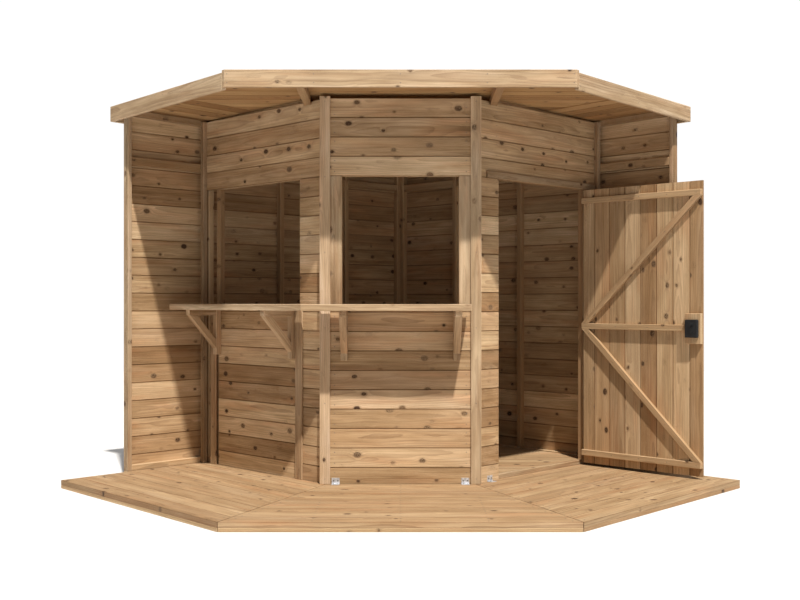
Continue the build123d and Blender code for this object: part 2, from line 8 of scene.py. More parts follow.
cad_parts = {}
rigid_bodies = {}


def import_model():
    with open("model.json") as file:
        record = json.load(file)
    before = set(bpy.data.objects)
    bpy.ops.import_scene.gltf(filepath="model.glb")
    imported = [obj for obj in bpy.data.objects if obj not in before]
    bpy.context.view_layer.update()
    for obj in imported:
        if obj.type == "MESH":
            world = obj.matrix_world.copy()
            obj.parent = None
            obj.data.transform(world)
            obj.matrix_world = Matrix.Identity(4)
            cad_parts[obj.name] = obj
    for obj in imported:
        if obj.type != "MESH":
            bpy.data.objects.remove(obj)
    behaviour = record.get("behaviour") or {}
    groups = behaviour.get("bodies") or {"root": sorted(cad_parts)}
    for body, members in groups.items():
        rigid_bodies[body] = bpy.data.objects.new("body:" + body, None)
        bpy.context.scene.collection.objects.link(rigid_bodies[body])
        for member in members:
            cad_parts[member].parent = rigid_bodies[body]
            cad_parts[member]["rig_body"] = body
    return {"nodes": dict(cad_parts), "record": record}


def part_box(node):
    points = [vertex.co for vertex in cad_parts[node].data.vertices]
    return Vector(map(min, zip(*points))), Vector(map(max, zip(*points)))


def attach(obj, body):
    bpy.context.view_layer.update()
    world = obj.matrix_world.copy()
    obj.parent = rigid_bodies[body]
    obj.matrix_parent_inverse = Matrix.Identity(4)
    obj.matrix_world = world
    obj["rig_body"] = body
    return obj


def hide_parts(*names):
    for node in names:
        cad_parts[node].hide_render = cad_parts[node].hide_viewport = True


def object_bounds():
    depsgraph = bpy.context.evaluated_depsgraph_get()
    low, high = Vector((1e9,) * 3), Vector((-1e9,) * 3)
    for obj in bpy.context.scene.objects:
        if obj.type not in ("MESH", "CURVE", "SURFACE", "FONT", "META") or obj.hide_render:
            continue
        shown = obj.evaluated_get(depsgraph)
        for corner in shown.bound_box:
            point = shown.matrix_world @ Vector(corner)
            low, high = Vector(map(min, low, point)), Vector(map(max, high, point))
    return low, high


bl_info = {
    "name": "Corner garden bar",
    "version": (1, 0, 0),
    "blender": (4, 5, 0),
    "location": "3D View > Sidebar > Garden bar",
    "description": "Boards, timber, fixings and finishes over the frame of a corner garden bar",
    "category": "Object",
}

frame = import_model()
cad_nodes = frame["nodes"]
cad_low, cad_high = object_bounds()

UP = Vector((0, 0, 1))
RIGHT = Vector((1, 0, 0))
BACKWARDS = Vector((0, 1, 0))
CENTRE = Vector((0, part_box("floor_boards")[0].y, 0))
PIN = Vector(frame["record"]["behaviour"]["joints"][0]["pos_m"])
BUILDING = "building"
DOOR = "door"


# Reading the frame.
MERGE_DISTANCE = 1e-5
FLAT_ANGLE = math.radians(1)


def rounded(vector, digits=4):
    """Vector as plain numbers that small errors don't change."""
    return tuple(round(value, digits) for value in vector)


def turned_to(vector, way):
    """The vector or its opposite, whichever looks the same way."""
    return -vector if vector.dot(way) < 0 else vector


def rank(face):
    """Key that puts a larger face higher, and faces of one size in the same order each run."""
    point, normal, area = face
    return round(area, 5), rounded(normal, 3), rounded(point)


class Solid:
    """One closed solid of a CAD node: its corners, edges and flat faces, the largest face first."""

    def __init__(self, verts):
        faces = {f for v in verts for f in v.link_faces}
        edges = {e for v in verts for e in v.link_edges}
        self.points = sorted((v.co.copy() for v in verts), key=tuple)
        found = [(f.calc_center_median(), f.normal.copy(), f.calc_area()) for f in faces]
        self.faces = sorted(found, key=rank, reverse=True)
        found = [e.verts[1].co - e.verts[0].co for e in edges]
        self.edges = [-e if rounded(e) < (0, 0, 0) else e for e in found]
        self.middle = sum(self.points, Vector()) / len(self.points)

    def span(self, axis):
        """Lowest and highest place of the solid along an axis."""
        places = [p.dot(axis) for p in self.points]
        return min(places), max(places)

    def depth(self, axis):
        """Extent of the solid along an axis."""
        low, high = self.span(axis)
        return high - low

    def longest_edge(self):
        """Direction of the longest edge, turned so that it has one sign everywhere."""
        return max(self.edges, key=lambda e: (round(e.length, 4), rounded(e))).normalized()

    def face_towards(self, way):
        """Middle and normal of the largest face that looks one way."""
        return next(f for f in self.faces if f[1].dot(way) > 0.9)[:2]

    def broad_normal(self):
        """Normal of the largest face."""
        return self.faces[0][1]


def outwards(solid):
    """Normal of the largest upright face that looks away from the middle of the building."""
    away = solid.middle - CENTRE
    return next(f[1] for f in solid.faces if f[1].dot(away) > 0 and abs(f[1].z) < 0.5)


def merged(name):
    """Copy of a CAD node's mesh with its triangles joined into flat faces."""
    bm = bmesh.new()
    bm.from_mesh(cad_nodes[name].data)
    bmesh.ops.remove_doubles(bm, verts=bm.verts, dist=MERGE_DISTANCE)
    bmesh.ops.dissolve_limit(bm, angle_limit=FLAT_ANGLE, verts=bm.verts, edges=bm.edges)
    return bm


def islands(bm):
    """Groups of vertices that are joined by edges."""
    seen, found = set(), []
    for start in bm.verts:
        if start in seen:
            continue
        seen.add(start)
        group = [start]
        for vert in group:
            others = [edge.other_vert(vert) for edge in vert.link_edges]
            fresh = [other for other in others if other not in seen]
            seen.update(fresh)
            group += fresh
        found.append(group)
    return sorted(found, key=lambda g: rounded(min(tuple(v.co) for v in g)))


def solids(*names):
    """Every solid of one or more CAD nodes."""
    found = []
    for name in names:
        bm = merged(name)
        found += [Solid(group) for group in islands(bm)]
        bm.free()
    return found


# Laying nodes.
class Graph:
    """Node tree in which each call makes a node, feeds its inputs and returns an output."""

    def __init__(self, tree):
        self.tree = tree

    def feed(self, socket, value):
        """Links an output to a socket, or sets the socket's own value."""
        if isinstance(value, bpy.types.NodeSocket):
            self.tree.links.new(value, socket)
        elif value is not None:
            socket.default_value = value

    def node(self, kind, inputs=None, **settings):
        """New node with its settings and inputs."""
        node = self.tree.nodes.new(kind)
        for key, value in settings.items():
            setattr(node, key, value)
        for key, value in (inputs or {}).items():
            self.feed(node.inputs[key], value)
        return node

    def geometry(self, kind, inputs=None, **settings):
        """First output of a new geometry node."""
        return self.node("GeometryNode" + kind, inputs, **settings).outputs[0]

    def math(self, operation, *values):
        """Math node."""
        return self.node("ShaderNodeMath", dict(enumerate(values)), operation=operation).outputs[0]

    def plus(self, first, second):
        """Sum."""
        return self.math("ADD", first, second)

    def minus(self, first, second):
        """Difference."""
        return self.math("SUBTRACT", first, second)

    def times(self, first, second):
        """Product."""
        return self.math("MULTIPLY", first, second)

    def scaled(self, value, factor, base):
        """Value times a factor, on top of a base."""
        return self.math("MULTIPLY_ADD", value, factor, base)

    def centred(self, value):
        """Value from 0 to 1 moved to lie round 0."""
        return self.minus(value, 0.5)

    def vector(self, operation, *values):
        """Vector math node."""
        node = self.node("ShaderNodeVectorMath", dict(enumerate(values)), operation=operation)
        return node.outputs["Value" if operation == "LENGTH" else 0]

    def combine(self, x=0.0, y=0.0, z=0.0):
        """Vector from three numbers."""
        return self.node("ShaderNodeCombineXYZ", {0: x, 1: y, 2: z}).outputs[0]

    def separate(self, value):
        """Three numbers of a vector."""
        return self.node("ShaderNodeSeparateXYZ", {0: value}).outputs

    def noise(self, value, scale, detail=2.0, roughness=0.5):
        """Noise from 0 to 1."""
        inputs = {"Vector": value, "Scale": scale, "Detail": detail, "Roughness": roughness}
        return self.node("ShaderNodeTexNoise", inputs).outputs[0]

    def grain_noise(self, place, along, across, detail=3.0, roughness=0.6):
        """Noise with its own scales along and across a board."""
        stretched = self.vector("MULTIPLY", place, (along, across, across))
        return self.noise(stretched, 1.0, detail, roughness)

    def ramp(self, value, low, high, start=0.0, end=1.0):
        """Smooth step of a value from low to high."""
        inputs = {"Value": value, 1: low, 2: high, 3: start, 4: end}
        return self.node("ShaderNodeMapRange", inputs, interpolation_type="SMOOTHSTEP").outputs[0]

    def blend(self, factor, first, second, mode="MIX"):
        """Mix of two colours."""
        inputs = {0: factor, 6: first, 7: second}
        return self.node("ShaderNodeMix", inputs, data_type="RGBA", blend_type=mode).outputs[2]


def group_tree(name, kind, inputs, outputs):
    """Node group with named inputs and outputs: its graph, given outputs and result inputs."""
    tree = bpy.data.node_groups.new(name, kind)
    for label, socket, default in inputs:
        made = tree.interface.new_socket(label, in_out="INPUT", socket_type=socket)
        if default is not None:
            made.default_value = default
    for label, socket in outputs:
        tree.interface.new_socket(label, in_out="OUTPUT", socket_type=socket)
    graph = Graph(tree)
    return graph, graph.node("NodeGroupInput").outputs, graph.node("NodeGroupOutput").inputs


# Sawn pine. It follows three attributes of each piece: "grain", the place within its own board
# (along, across, through) in metres, "board", one number for the whole board, and "arris", 1 on
# eased edges, which the Arris value lightens as wear above 1 and darkens as painted joint shade below 1.
# Scales are in repeats a metre and lengths in metres.
PINE_COLOURS = ("pale", "honey", "brown", "rust", "ash", "knot")
PINE_NUMBERS = {
    "knots": 0.5, "rings": 0.5, "contrast": 0.7, "variety": 1.0, "light": 1.0, "warmth": 1.0, "arris": 1.15,
}
RINGS_PER_METRE = 115.0
KNOT_CELL = Vector((0.21, 0.10, 1.0))
KNOT_STRETCH = 0.72
SMALL_KNOT = 0.008
KNOT_GROWTH = 0.009
USUAL_HONEY = 0.45


def pith_distance(graph, place, grain, side_chance, depth_chance):
    """Distance from the pith, which wanders beside and below the board's face."""
    across, through = graph.separate(grain)[1:]
    slow = graph.vector("MULTIPLY", place, (0.9, 0.0, 0.0))
    sway = graph.centred(graph.noise(slow, 1.0))
    dip = graph.centred(graph.noise(graph.vector("ADD", slow, (0, 9, 0)), 1.3))
    pith_side = graph.scaled(sway, 0.05, graph.times(graph.centred(side_chance), 0.10))
    pith_depth = graph.scaled(dip, 0.05, graph.scaled(depth_chance, 0.06, 0.022))
    offset = graph.combine(graph.minus(across, pith_side), graph.plus(through, pith_depth))
    ripple = graph.grain_noise(place, 3.0, 22.0, roughness=0.5)
    return graph.scaled(ripple, 0.010, graph.vector("LENGTH", offset))


def nearest_knot(graph, place, share):
    """Distance from the nearest knot, its radius, whether it is there, and its tone."""
    cell = graph.vector("DIVIDE", place, tuple(KNOT_CELL))
    voronoi = graph.node(
        "ShaderNodeTexVoronoi", {"Vector": cell, "Scale": 1.0, "Randomness": 0.8}, voronoi_dimensions="2D"
    ).outputs
    away = graph.vector("SUBTRACT", cell, voronoi["Position"])
    away = graph.vector("MULTIPLY", away, (KNOT_CELL.x * KNOT_STRETCH, KNOT_CELL.y, 0.0))
    wobble = graph.grain_noise(place, 60.0, 60.0, 1.0, 0.5)
    distance = graph.scaled(wobble, 0.004, graph.vector("LENGTH", away))
    odds, size, tone = graph.separate(voronoi["Color"])
    there = graph.math("LESS_THAN", odds, share)
    radius = graph.scaled(graph.math("POWER", size, 2.0), KNOT_GROWTH, SMALL_KNOT)
    return distance, graph.times(radius, there), there, tone


def pushed_by_knot(graph, radius, distance, knot_radius):
    """Distance from the pith with the rings pushed apart round a knot."""
    reach = graph.scaled(knot_radius, 1.9, 0.0001)
    fall = graph.math("POWER", graph.math("DIVIDE", distance, reach), 2.0)
    push = graph.math("EXPONENT", graph.times(fall, -1.0))
    return graph.plus(radius, graph.times(graph.times(push, knot_radius), 0.9))


def board_tone(graph, given, place, honey_chance, brown_chance):
    """The board's own mix of pale, honey and brown, with a red flush and a grey bloom in places."""
    honey = graph.minus(graph.ramp(honey_chance, 0.15, 0.85), USUAL_HONEY)
    honey = graph.scaled(honey, given["Variety"], USUAL_HONEY)
    tone = graph.blend(honey, given["Pale"], given["Honey"])
    brown = graph.times(graph.ramp(brown_chance, 0.55, 1.0, 0.0, 0.5), given["Variety"])
    tone = graph.blend(brown, tone, given["Brown"])
    flush = graph.grain_noise(place, 1.7, 11.0)
    tone = graph.blend(graph.ramp(flush, 0.48, 0.72, 0.0, 0.55), tone, given["Rust"])
    elsewhere = graph.vector("MULTIPLY_ADD", place, (1.1, 6.0, 6.0), (5.0, 3.0, 0.0))
    bloom = graph.noise(elsewhere, 1.0, 3.0, 0.6)
    return graph.blend(graph.ramp(bloom, 0.47, 0.70, 0.0, 0.3), tone, given["Ash"])


def board_light(graph, given, light_chance, arris, streak, blotch):
    """Brightness of board, streaks and blotches as a colour: darker wood is also redder. Eased edges are
    lighter as wear where Arris is above 1, and darker as painted shade in the joints where it is below 1.
    """
    light = graph.times(graph.centred(light_chance), given["Variety"])
    light = graph.scaled(light, 0.55, 1.0)
    light = graph.plus(light, graph.times(graph.centred(streak), 0.65))
    light = graph.plus(light, graph.times(graph.centred(blotch), 0.8))
    light = graph.scaled(graph.minus(light, 1.0), given["Contrast"], 1.0)
    # Arris above 1 makes the edges lighter as wear. Arris below 1 paints shade on the chamfers of the board
    # joints.
    edge_wear_and_shade = graph.scaled(graph.minus(given["Arris"], 1.0), arris, 1.0)
    light = graph.times(graph.times(light, given["Light"]), edge_wear_and_shade)
    channels = [light]
    for power, cut in ((1.2, -0.06), (1.5, -0.15)):
        share = graph.scaled(given["Warmth"], cut, 1.0)
        channels.append(graph.times(graph.math("POWER", light, power), share))
    return graph.combine(*channels)


def pine_group():
    """Growth rings round a pith, knots that push them apart, streaks and the board's own tone."""
    colour, number = "NodeSocketColor", "NodeSocketFloat"
    inputs = [(name.capitalize(), colour, None) for name in PINE_COLOURS]
    inputs += [(name.capitalize(), number, usual) for name, usual in PINE_NUMBERS.items()]
    outputs = [("Color", colour), ("Roughness", number), ("Height", number)]
    graph, given, result = group_tree("Sawn pine", "ShaderNodeTree", inputs, outputs)
    grain, board, arris = (
        graph.node("ShaderNodeAttribute", attribute_name=name).outputs[kind]
        for name, kind in (("grain", "Vector"), ("board", "Fac"), ("arris", "Fac"))
    )
    chance = graph.node("ShaderNodeTexWhiteNoise", {"W": board}, noise_dimensions="1D")
    first, second, third = graph.separate(chance.outputs["Color"])
    shift = graph.combine(graph.times(first, 43.0), graph.times(second, 7.0))
    place = graph.vector("ADD", grain, shift)

    radius = pith_distance(graph, place, grain, second, third)
    distance, knot_radius, there, tone = nearest_knot(graph, place, given["Knots"])
    radius = pushed_by_knot(graph, radius, distance, knot_radius)
    inside = graph.minus(knot_radius, distance)
    knot = graph.ramp(inside, -0.0025, 0.0015)
    halo = graph.times(graph.ramp(inside, -0.010, 0.0), there)
    knot_rings = graph.math("SINE", graph.times(distance, 2400.0))

    # Late wood is a dark line at the end of each ring.
    late = graph.math("POWER", graph.math("FRACT", graph.times(radius, RINGS_PER_METRE)), 2.2)
    streak = graph.grain_noise(place, 1.6, 60.0, roughness=0.65)
    blotch = graph.grain_noise(place, 2.8, 16.0)

    wood = board_tone(graph, given, place, first, third)
    wood = graph.blend(graph.times(late, given["Rings"]), wood, given["Brown"])
    light = board_light(graph, given, second, arris, streak, blotch)
    wood = graph.blend(1.0, wood, light, "MULTIPLY")
    wood = graph.blend(graph.times(halo, 0.55), wood, given["Brown"])
    heart = graph.blend(graph.times(graph.ramp(tone, 0.5, 1.0), 0.6), given["Knot"], given["Brown"])
    heart = graph.blend(graph.scaled(knot_rings, 0.08, 0.08), heart, given["Brown"])
    graph.feed(result["Color"], graph.blend(knot, wood, heart))
    rough = graph.scaled(late, -0.12, 0.72)
    graph.feed(result["Roughness"], graph.scaled(streak, 0.12, rough))
    height = graph.scaled(streak, 0.6, graph.times(late, 0.35))
    graph.feed(result["Height"], graph.scaled(knot, 0.5, height))
    return graph.tree


# Finishes. A wood's "knots" is its part of the setting, and its other values are the group's own.
# An arris below 1, as on the cladding, door, deck and roof boards, paints shade on the chamfers of their
# joints. Above 1 it is lighter wear.
WOODS = {
    "Cladding boards": {"contrast": 1.3, "variety": 0.85, "light": 1.08, "warmth": 0.9, "arris": 0.5},
    "Door boards": {"contrast": 1.0, "light": 1.10, "arris": 0.6},
    "Deck boards": {
        "knots": 0.7, "rings": 0.6, "contrast": 1.1, "variety": 0.4, "light": 0.84, "warmth": 0.5,
        "arris": 0.5,
    },
    "Roof boards": {"light": 0.88, "warmth": 2.4, "arris": 0.5},
    "Fascia boards": {
        "knots": 0.6, "rings": 0.6, "contrast": 1.4, "variety": 0.4, "light": 1.06, "warmth": 0.1,
    },
    "Planed trim": {"knots": 0.9, "contrast": 1.5, "warmth": -0.1},
    "Sawn framing": {"knots": 0.5, "light": 0.96},
    "Door timbers": {"knots": 0.5, "variety": 0.5, "warmth": 0.9},
}
# Colour, roughness, metallic, and clouds a metre.
METALS = {
    "Zinc plate": ((0.80, 0.82, 0.86), 0.38, 0.6, 60.0),
    "Black hinge": ((0.02, 0.02, 0.022), 0.45, 0.3, 40.0),
    "Lock case": ((0.010, 0.011, 0.013), 0.5, 0.0, 30.0),
    "Nail head": ((0.20, 0.18, 0.16), 0.5, 0.6, 80.0),
}
GRAIN_RELIEF = 0.0008
GRIT_RELIEF = 0.0008
SCUFF_RELIEF = 0.0002


def shader(name, roughness, metallic=0.0, specular=0.5):
    """Material with a graph and a principled shader."""
    material = bpy.data.materials.new(name)
    material.use_nodes = True
    material.node_tree.nodes.clear()
    graph = Graph(material.node_tree)
    surface = graph.node(
        "ShaderNodeBsdfPrincipled",
        {"Roughness": roughness, "Metallic": metallic, "Specular IOR Level": specular},
    )
    graph.node("ShaderNodeOutputMaterial", {"Surface": surface.outputs[0]})
    return graph, surface


def raise_surface(graph, surface, height, distance):
    """Bump from a height."""
    bump = graph.node("ShaderNodeBump", {"Height": height, "Distance": distance, "Strength": 1.0})
    graph.feed(surface.inputs["Normal"], bump.outputs[0])


def timber(name, tree, settings, values):
    """Pine with the colours of the settings and its own values."""
    graph, surface = shader(name, 0.7, specular=0.3)
    inputs = {colour: (*getattr(settings, colour), 1) for colour in PINE_COLOURS}
    inputs.update(values, knots=settings.knots * values.get("knots", 1))
    named = {key.capitalize(): value for key, value in inputs.items()}
    wood = graph.node("ShaderNodeGroup", node_tree=tree)
    for key, value in named.items():
        graph.feed(wood.inputs[key], value)
    graph.feed(surface.inputs["Base Color"], wood.outputs["Color"])
    graph.feed(surface.inputs["Roughness"], wood.outputs["Roughness"])
    raise_surface(graph, surface, wood.outputs["Height"], GRAIN_RELIEF)


def felt_material(settings):
    """Mineral felt: dark base under fine pale grit."""
    graph, surface = shader("Mineral felt", 0.9, specular=0.2)
    place = graph.node("ShaderNodeTexCoord").outputs["Object"]
    grit = graph.noise(place, 420.0, 2.0)
    patch = graph.noise(place, 3.5, 5.0, 0.65)
    dark = (*[c * 0.55 for c in settings.felt], 1)
    shade = graph.blend(graph.ramp(grit, 0.35, 0.7), dark, (*settings.felt, 1))
    shade = graph.blend(graph.ramp(patch, 0.35, 0.7, 0.0, 0.6), shade, dark)
    graph.feed(surface.inputs["Base Color"], shade)
    raise_surface(graph, surface, grit, GRIT_RELIEF)


def metal_material(name, colour, roughness, metallic, clouds):
    """Metal or coating with faint clouds and scuffs."""
    graph, surface = shader(name, roughness, metallic)
    place = graph.node("ShaderNodeTexCoord").outputs["Object"]
    cloud = graph.noise(place, clouds, 3.0)
    scuff = graph.noise(place, clouds * 9, 2.0)
    dark = (*[c * 0.6 for c in colour], 1)
    shade = graph.blend(graph.ramp(cloud, 0.3, 0.7), dark, (*colour, 1))
    graph.feed(surface.inputs["Base Color"], shade)
    rough = graph.ramp(scuff, 0.3, 0.8, roughness - 0.08, roughness + 0.15)
    graph.feed(surface.inputs["Roughness"], rough)
    raise_surface(graph, surface, scuff, SCUFF_RELIEF)


def materials(settings):
    """Every finish by name, made once."""
    if "Cladding boards" not in bpy.data.materials:
        pine = pine_group()
        for name, values in WOODS.items():
            timber(name, pine, settings, values)
        felt_material(settings)
        for name, values in METALS.items():
            metal_material(name, *values)
    return bpy.data.materials


# Boards and fixings by geometry nodes.
HEAD_SIDES = 10
HEAD_TAPER = 0.55


def board_bar(graph, line, width, height, chamfer=None):
    """Bar of a rectangular section along a line, with or without chamfers."""
    section = graph.geometry("CurvePrimitiveQuadrilateral", {"Width": width, "Height": height})
    if chamfer:
        inputs = {"Curve": section, "Radius": chamfer, "Count": 1}
        section = graph.geometry("FilletCurve", inputs, mode="POLY")
    inputs = {"Curve": line, "Profile Curve": section, "Fill Caps": True}
    return graph.geometry("CurveToMesh", inputs)


def stored(graph, geometry, name, value, kind, domain):
    """Geometry with a named attribute."""
    inputs = {"Geometry": geometry, "Name": name}
    node = graph.node("GeometryNodeStoreNamedAttribute", inputs, data_type=kind, domain=domain)
    graph.feed(node.inputs["Value"], value)
    return node.outputs[0]


def realized(graph, geometry, material):
    """Instances made real, in one material."""
    real = graph.geometry("RealizeInstances", {"Geometry": geometry})
    return graph.geometry("SetMaterial", {"Geometry": real, "Material": material})


def boards_tree():
    """Rows of chamfered boards, each with its own grain place, number and slight set-back."""
    length, whole = "NodeSocketFloat", "NodeSocketInt"
    inputs = [
        ("Length", length, 1.0),
        ("Rows", whole, 4),
        ("Cover", length, 0.111),
        ("Thickness", length, 0.012),
        ("Chamfer", length, 0.003),
        ("Gap", length, 0.0003),
        ("Tongue", length, 0.004),
        ("Set back", length, 0.0006),
        ("Seed", whole, 1),
        ("Material", "NodeSocketMaterial", None),
    ]
    outputs = [("Geometry", "NodeSocketGeometry")]
    graph, given, result = group_tree("Rows of boards", "GeometryNodeTree", inputs, outputs)
    half = graph.times(given["Length"], 0.5)
    ends = {"Start": graph.combine(graph.times(half, -1.0)), "End": graph.combine(half)}
    line = graph.geometry("CurvePrimitiveLine", ends)
    body = board_bar(
        graph, line, graph.minus(given["Cover"], given["Gap"]), given["Thickness"], given["Chamfer"]
    )
    tongue_width = graph.plus(given["Cover"], given["Tongue"])
    tongue = board_bar(graph, line, tongue_width, graph.times(given["Thickness"], 0.25))
    board = graph.node("GeometryNodeJoinGeometry")
    for part in (body, tongue):
        graph.feed(board.inputs[0], part)
    # Chamfer faces are marked as arris. The board woods darken them there as painted shade in the joints.
    normal = graph.separate(graph.geometry("InputNormal"))
    slant = graph.math("ABSOLUTE", graph.times(normal[1], normal[2]))
    chamfers = graph.math("GREATER_THAN", slant, 0.2)
    marked = stored(graph, board.outputs[0], "arris", chamfers, "FLOAT", "FACE")
    place = graph.geometry("InputPosition")
    marked = stored(graph, marked, "grain", place, "FLOAT_VECTOR", "POINT")
    rows = graph.geometry(
        "MeshLine",
        {
            "Count": given["Rows"],
            "Start Location": graph.combine(0.0, graph.times(given["Cover"], 0.5)),
            "Offset": graph.combine(0.0, given["Cover"]),
        },
    )
    deepest = graph.times(given["Set back"], -1.0)
    back = graph.node(
        "FunctionNodeRandomValue", {"Seed": given["Seed"], 2: deepest, 3: 0.0}, data_type="FLOAT"
    )
    offset = graph.combine(0.0, 0.0, back.outputs[1])
    placed = graph.geometry("SetPosition", {"Geometry": rows, "Offset": offset})
    laid = graph.geometry("InstanceOnPoints", {"Points": placed, "Instance": marked})
    number = graph.node("FunctionNodeRandomValue", {"Seed": graph.plus(given["Seed"], 7.0)})
    numbered = stored(graph, laid, "board", number.outputs[1], "FLOAT", "INSTANCE")
    graph.feed(result["Geometry"], realized(graph, numbered, given["Material"]))
    return graph.tree


def fixings_tree():
    """Round heads on the points of a mesh, each turned to the point's own direction."""
    inputs = [
        ("Points", "NodeSocketGeometry", None),
        ("Radius", "NodeSocketFloat", 0.003),
        ("Crown", "NodeSocketFloat", 0.0006),
        ("Material", "NodeSocketMaterial", None),
    ]
    outputs = [("Geometry", "NodeSocketGeometry")]
    graph, given, result = group_tree("Fixing heads", "GeometryNodeTree", inputs, outputs)
    head = graph.geometry(
        "MeshCone",
        {
            "Vertices": HEAD_SIDES,
            "Radius Top": graph.times(given["Radius"], HEAD_TAPER),
            "Radius Bottom": given["Radius"],
            "Depth": given["Crown"],
        },
    )
    facing = graph.geometry("InputNamedAttribute", {"Name": "facing"}, data_type="FLOAT_VECTOR")
    turned = graph.node("FunctionNodeAlignRotationToVector", {"Vector": facing}, axis="Z")
    places = {"Points": given["Points"], "Instance": head, "Rotation": turned.outputs[0]}
    laid = graph.geometry("InstanceOnPoints", places)
    graph.feed(result["Geometry"], realized(graph, laid, given["Material"]))
    return graph.tree


def linked(name, data):
    """New object in the scene."""
    made = bpy.data.objects.new(name, data)
    bpy.context.scene.collection.objects.link(made)
    return made


def grown(name, make, mesh, inputs):
    """Mesh that a named geometry tree makes from another, as a bmesh."""
    tree = bpy.data.node_groups.get(name) or make()
    holder = linked("holder", mesh)
    modifier = holder.modifiers.new(name, "NODES")
    modifier.node_group = tree
    for item in tree.interface.items_tree:
        if item.in_out == "INPUT" and item.name in inputs:
            modifier[item.identifier] = inputs[item.name]
    evaluated = holder.evaluated_get(bpy.context.evaluated_depsgraph_get())
    made = bpy.data.meshes.new_from_object(evaluated)
    holder.modifiers.remove(modifier)
    bpy.data.objects.remove(holder)
    bm = bmesh.new()
    bm.from_mesh(made)
    bpy.data.meshes.remove(made)
    return bm


# Making pieces.
CUT_INSET = 0.0004
CUT_MERGE = 1e-6
SAME_PLANE = 1e-4
LINE_SPARE = 0.02
SHARP_ANGLE = math.radians(20)


def cut_off(bm, point, normal):
    """Cuts away what lies beyond a plane and closes the cut."""
    geometry = bm.verts[:] + bm.edges[:] + bm.faces[:]
    cut = bmesh.ops.bisect_plane(
        bm, geom=geometry, plane_co=point, plane_no=normal, dist=CUT_MERGE, clear_outer=True
    )
    rims = [e for e in cut["geom_cut"] if isinstance(e, bmesh.types.BMEdge) and e.is_boundary]
    bmesh.ops.holes_fill(bm, edges=rims, sides=0)


def add_part(whole, part):
    """Joins one bmesh to another and frees it."""
    mesh = bpy.data.meshes.new("part")
    part.to_mesh(mesh)
    part.free()
    whole.from_mesh(mesh)
    bpy.data.meshes.remove(mesh)


def side_planes(solid, out, across):
    """Planes of the faces round a slab, without its two broad faces and its vees."""
    planes = []
    for point, normal, area in solid.faces:
        broad = abs(normal.dot(out)) > 0.95
        vee = 0.6 < abs(normal.dot(out)) < 0.8 and abs(normal.dot(across)) > 0.6
        known = any(n.dot(normal) > 0.999 and abs((point - p).dot(n)) < SAME_PLANE for p, n in planes)
        if not (broad or vee or known):
            planes.append((point, normal))
    return planes


def lay_boards(bm, solid, along, out, settings, seed, first=None):
    """Boards in the place of one CAD slab, cut to its sides, with a joint at the first place."""
    across = out.cross(along).normalized()
    low_along, high_along = solid.span(along)
    low_across, high_across = solid.span(across)
    cover, thickness = settings["Cover"], settings["Thickness"]
    start = low_across if first is None else first
    start -= math.ceil((start - low_across) / cover) * cover
    inputs = {
        **settings,
        "Length": high_along - low_along + LINE_SPARE,
        "Rows": math.ceil((high_across - start) / cover),
        "Seed": seed,
    }
    part = grown("Rows of boards", boards_tree, bpy.data.meshes.new("holder"), inputs)
    basis = Matrix((along, across, out)).transposed().to_4x4()
    face = solid.span(out)[1]
    middle = along * (low_along + high_along) / 2 + across * start + out * (face - thickness / 2)
    part.transform(Matrix.Translation(middle) @ basis)
    for point, normal in side_planes(solid, out, across):
        cut_off(part, point - normal * CUT_INSET, normal)
    add_part(bm, part)


def finish_piece(name, bm, body, material, nodes=()):
    """Object from a mesh, riding on its body and standing for its CAD nodes."""
    for face in bm.faces:
        face.smooth = False
        face.material_index = 0
    mesh = bpy.data.meshes.new(name)
    bm.to_mesh(mesh)
    bm.free()
    mesh.materials.append(material)
    piece = linked(name, mesh)
    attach(piece, body)
    if nodes:
        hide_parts(*nodes)


def board_number(seed, n):
    """Number from 0 to 1 that follows from a seed and a count."""
    return abs(math.modf(math.sin(seed * 12.9898 + n * 78.233) * 43758.5453)[0])


def grain_of(bm, seed, along=None):
    """Writes each bar's own grain place and board number on a mesh of separate bars."""
    grain = bm.verts.layers.float_vector.get("grain") or bm.verts.layers.float_vector.new("grain")
    board = bm.verts.layers.float.get("board") or bm.verts.layers.float.new("board")
    for n, group in enumerate(islands(bm)):
        solid = Solid(group)
        x = along or solid.longest_edge()
        side = solid.broad_normal()
        z = turned_to((side - x * side.dot(x)).normalized(), solid.middle - CENTRE)
        axes = (x, z.cross(x), z)
        middle = sum((axis * sum(solid.span(axis)) / 2 for axis in axes), Vector())
        for vert in group:
            local = vert.co - middle
            vert[grain] = [local.dot(axis) for axis in axes]
            vert[board] = board_number(seed, n)


def ease_edges(bm, size):
    """Small chamfer on every edge, marked as arris."""
    sharp = [e for e in bm.edges if len(e.link_faces) == 2 and e.calc_face_angle() > SHARP_ANGLE]
    mark = bm.faces.layers.float.get("arris") or bm.faces.layers.float.new("arris")
    made = bmesh.ops.bevel(bm, geom=sharp, offset=size, segments=1, affect="EDGES", clamp_overlap=True)
    for face in made["faces"]:
        face[mark] = 1.0


# Sizes and colours that a user would change.
def colour_setting(name, description, default):
    """Setting that holds a colour."""
    return bpy.props.FloatVectorProperty(
        name=name, description=description, subtype="COLOR", size=3, min=0, max=1, default=default
    )


def length_setting(name, description, low, high, default):
    """Setting that holds a length in metres."""
    return bpy.props.FloatProperty(
        name=name, description=description, unit="LENGTH", min=low, max=high, default=default
    )


def light_setting(name, description, high, default):
    """Setting that holds the strength of a light."""
    return bpy.props.FloatProperty(
        name=name, description=description, min=0, max=high, default=default
    )


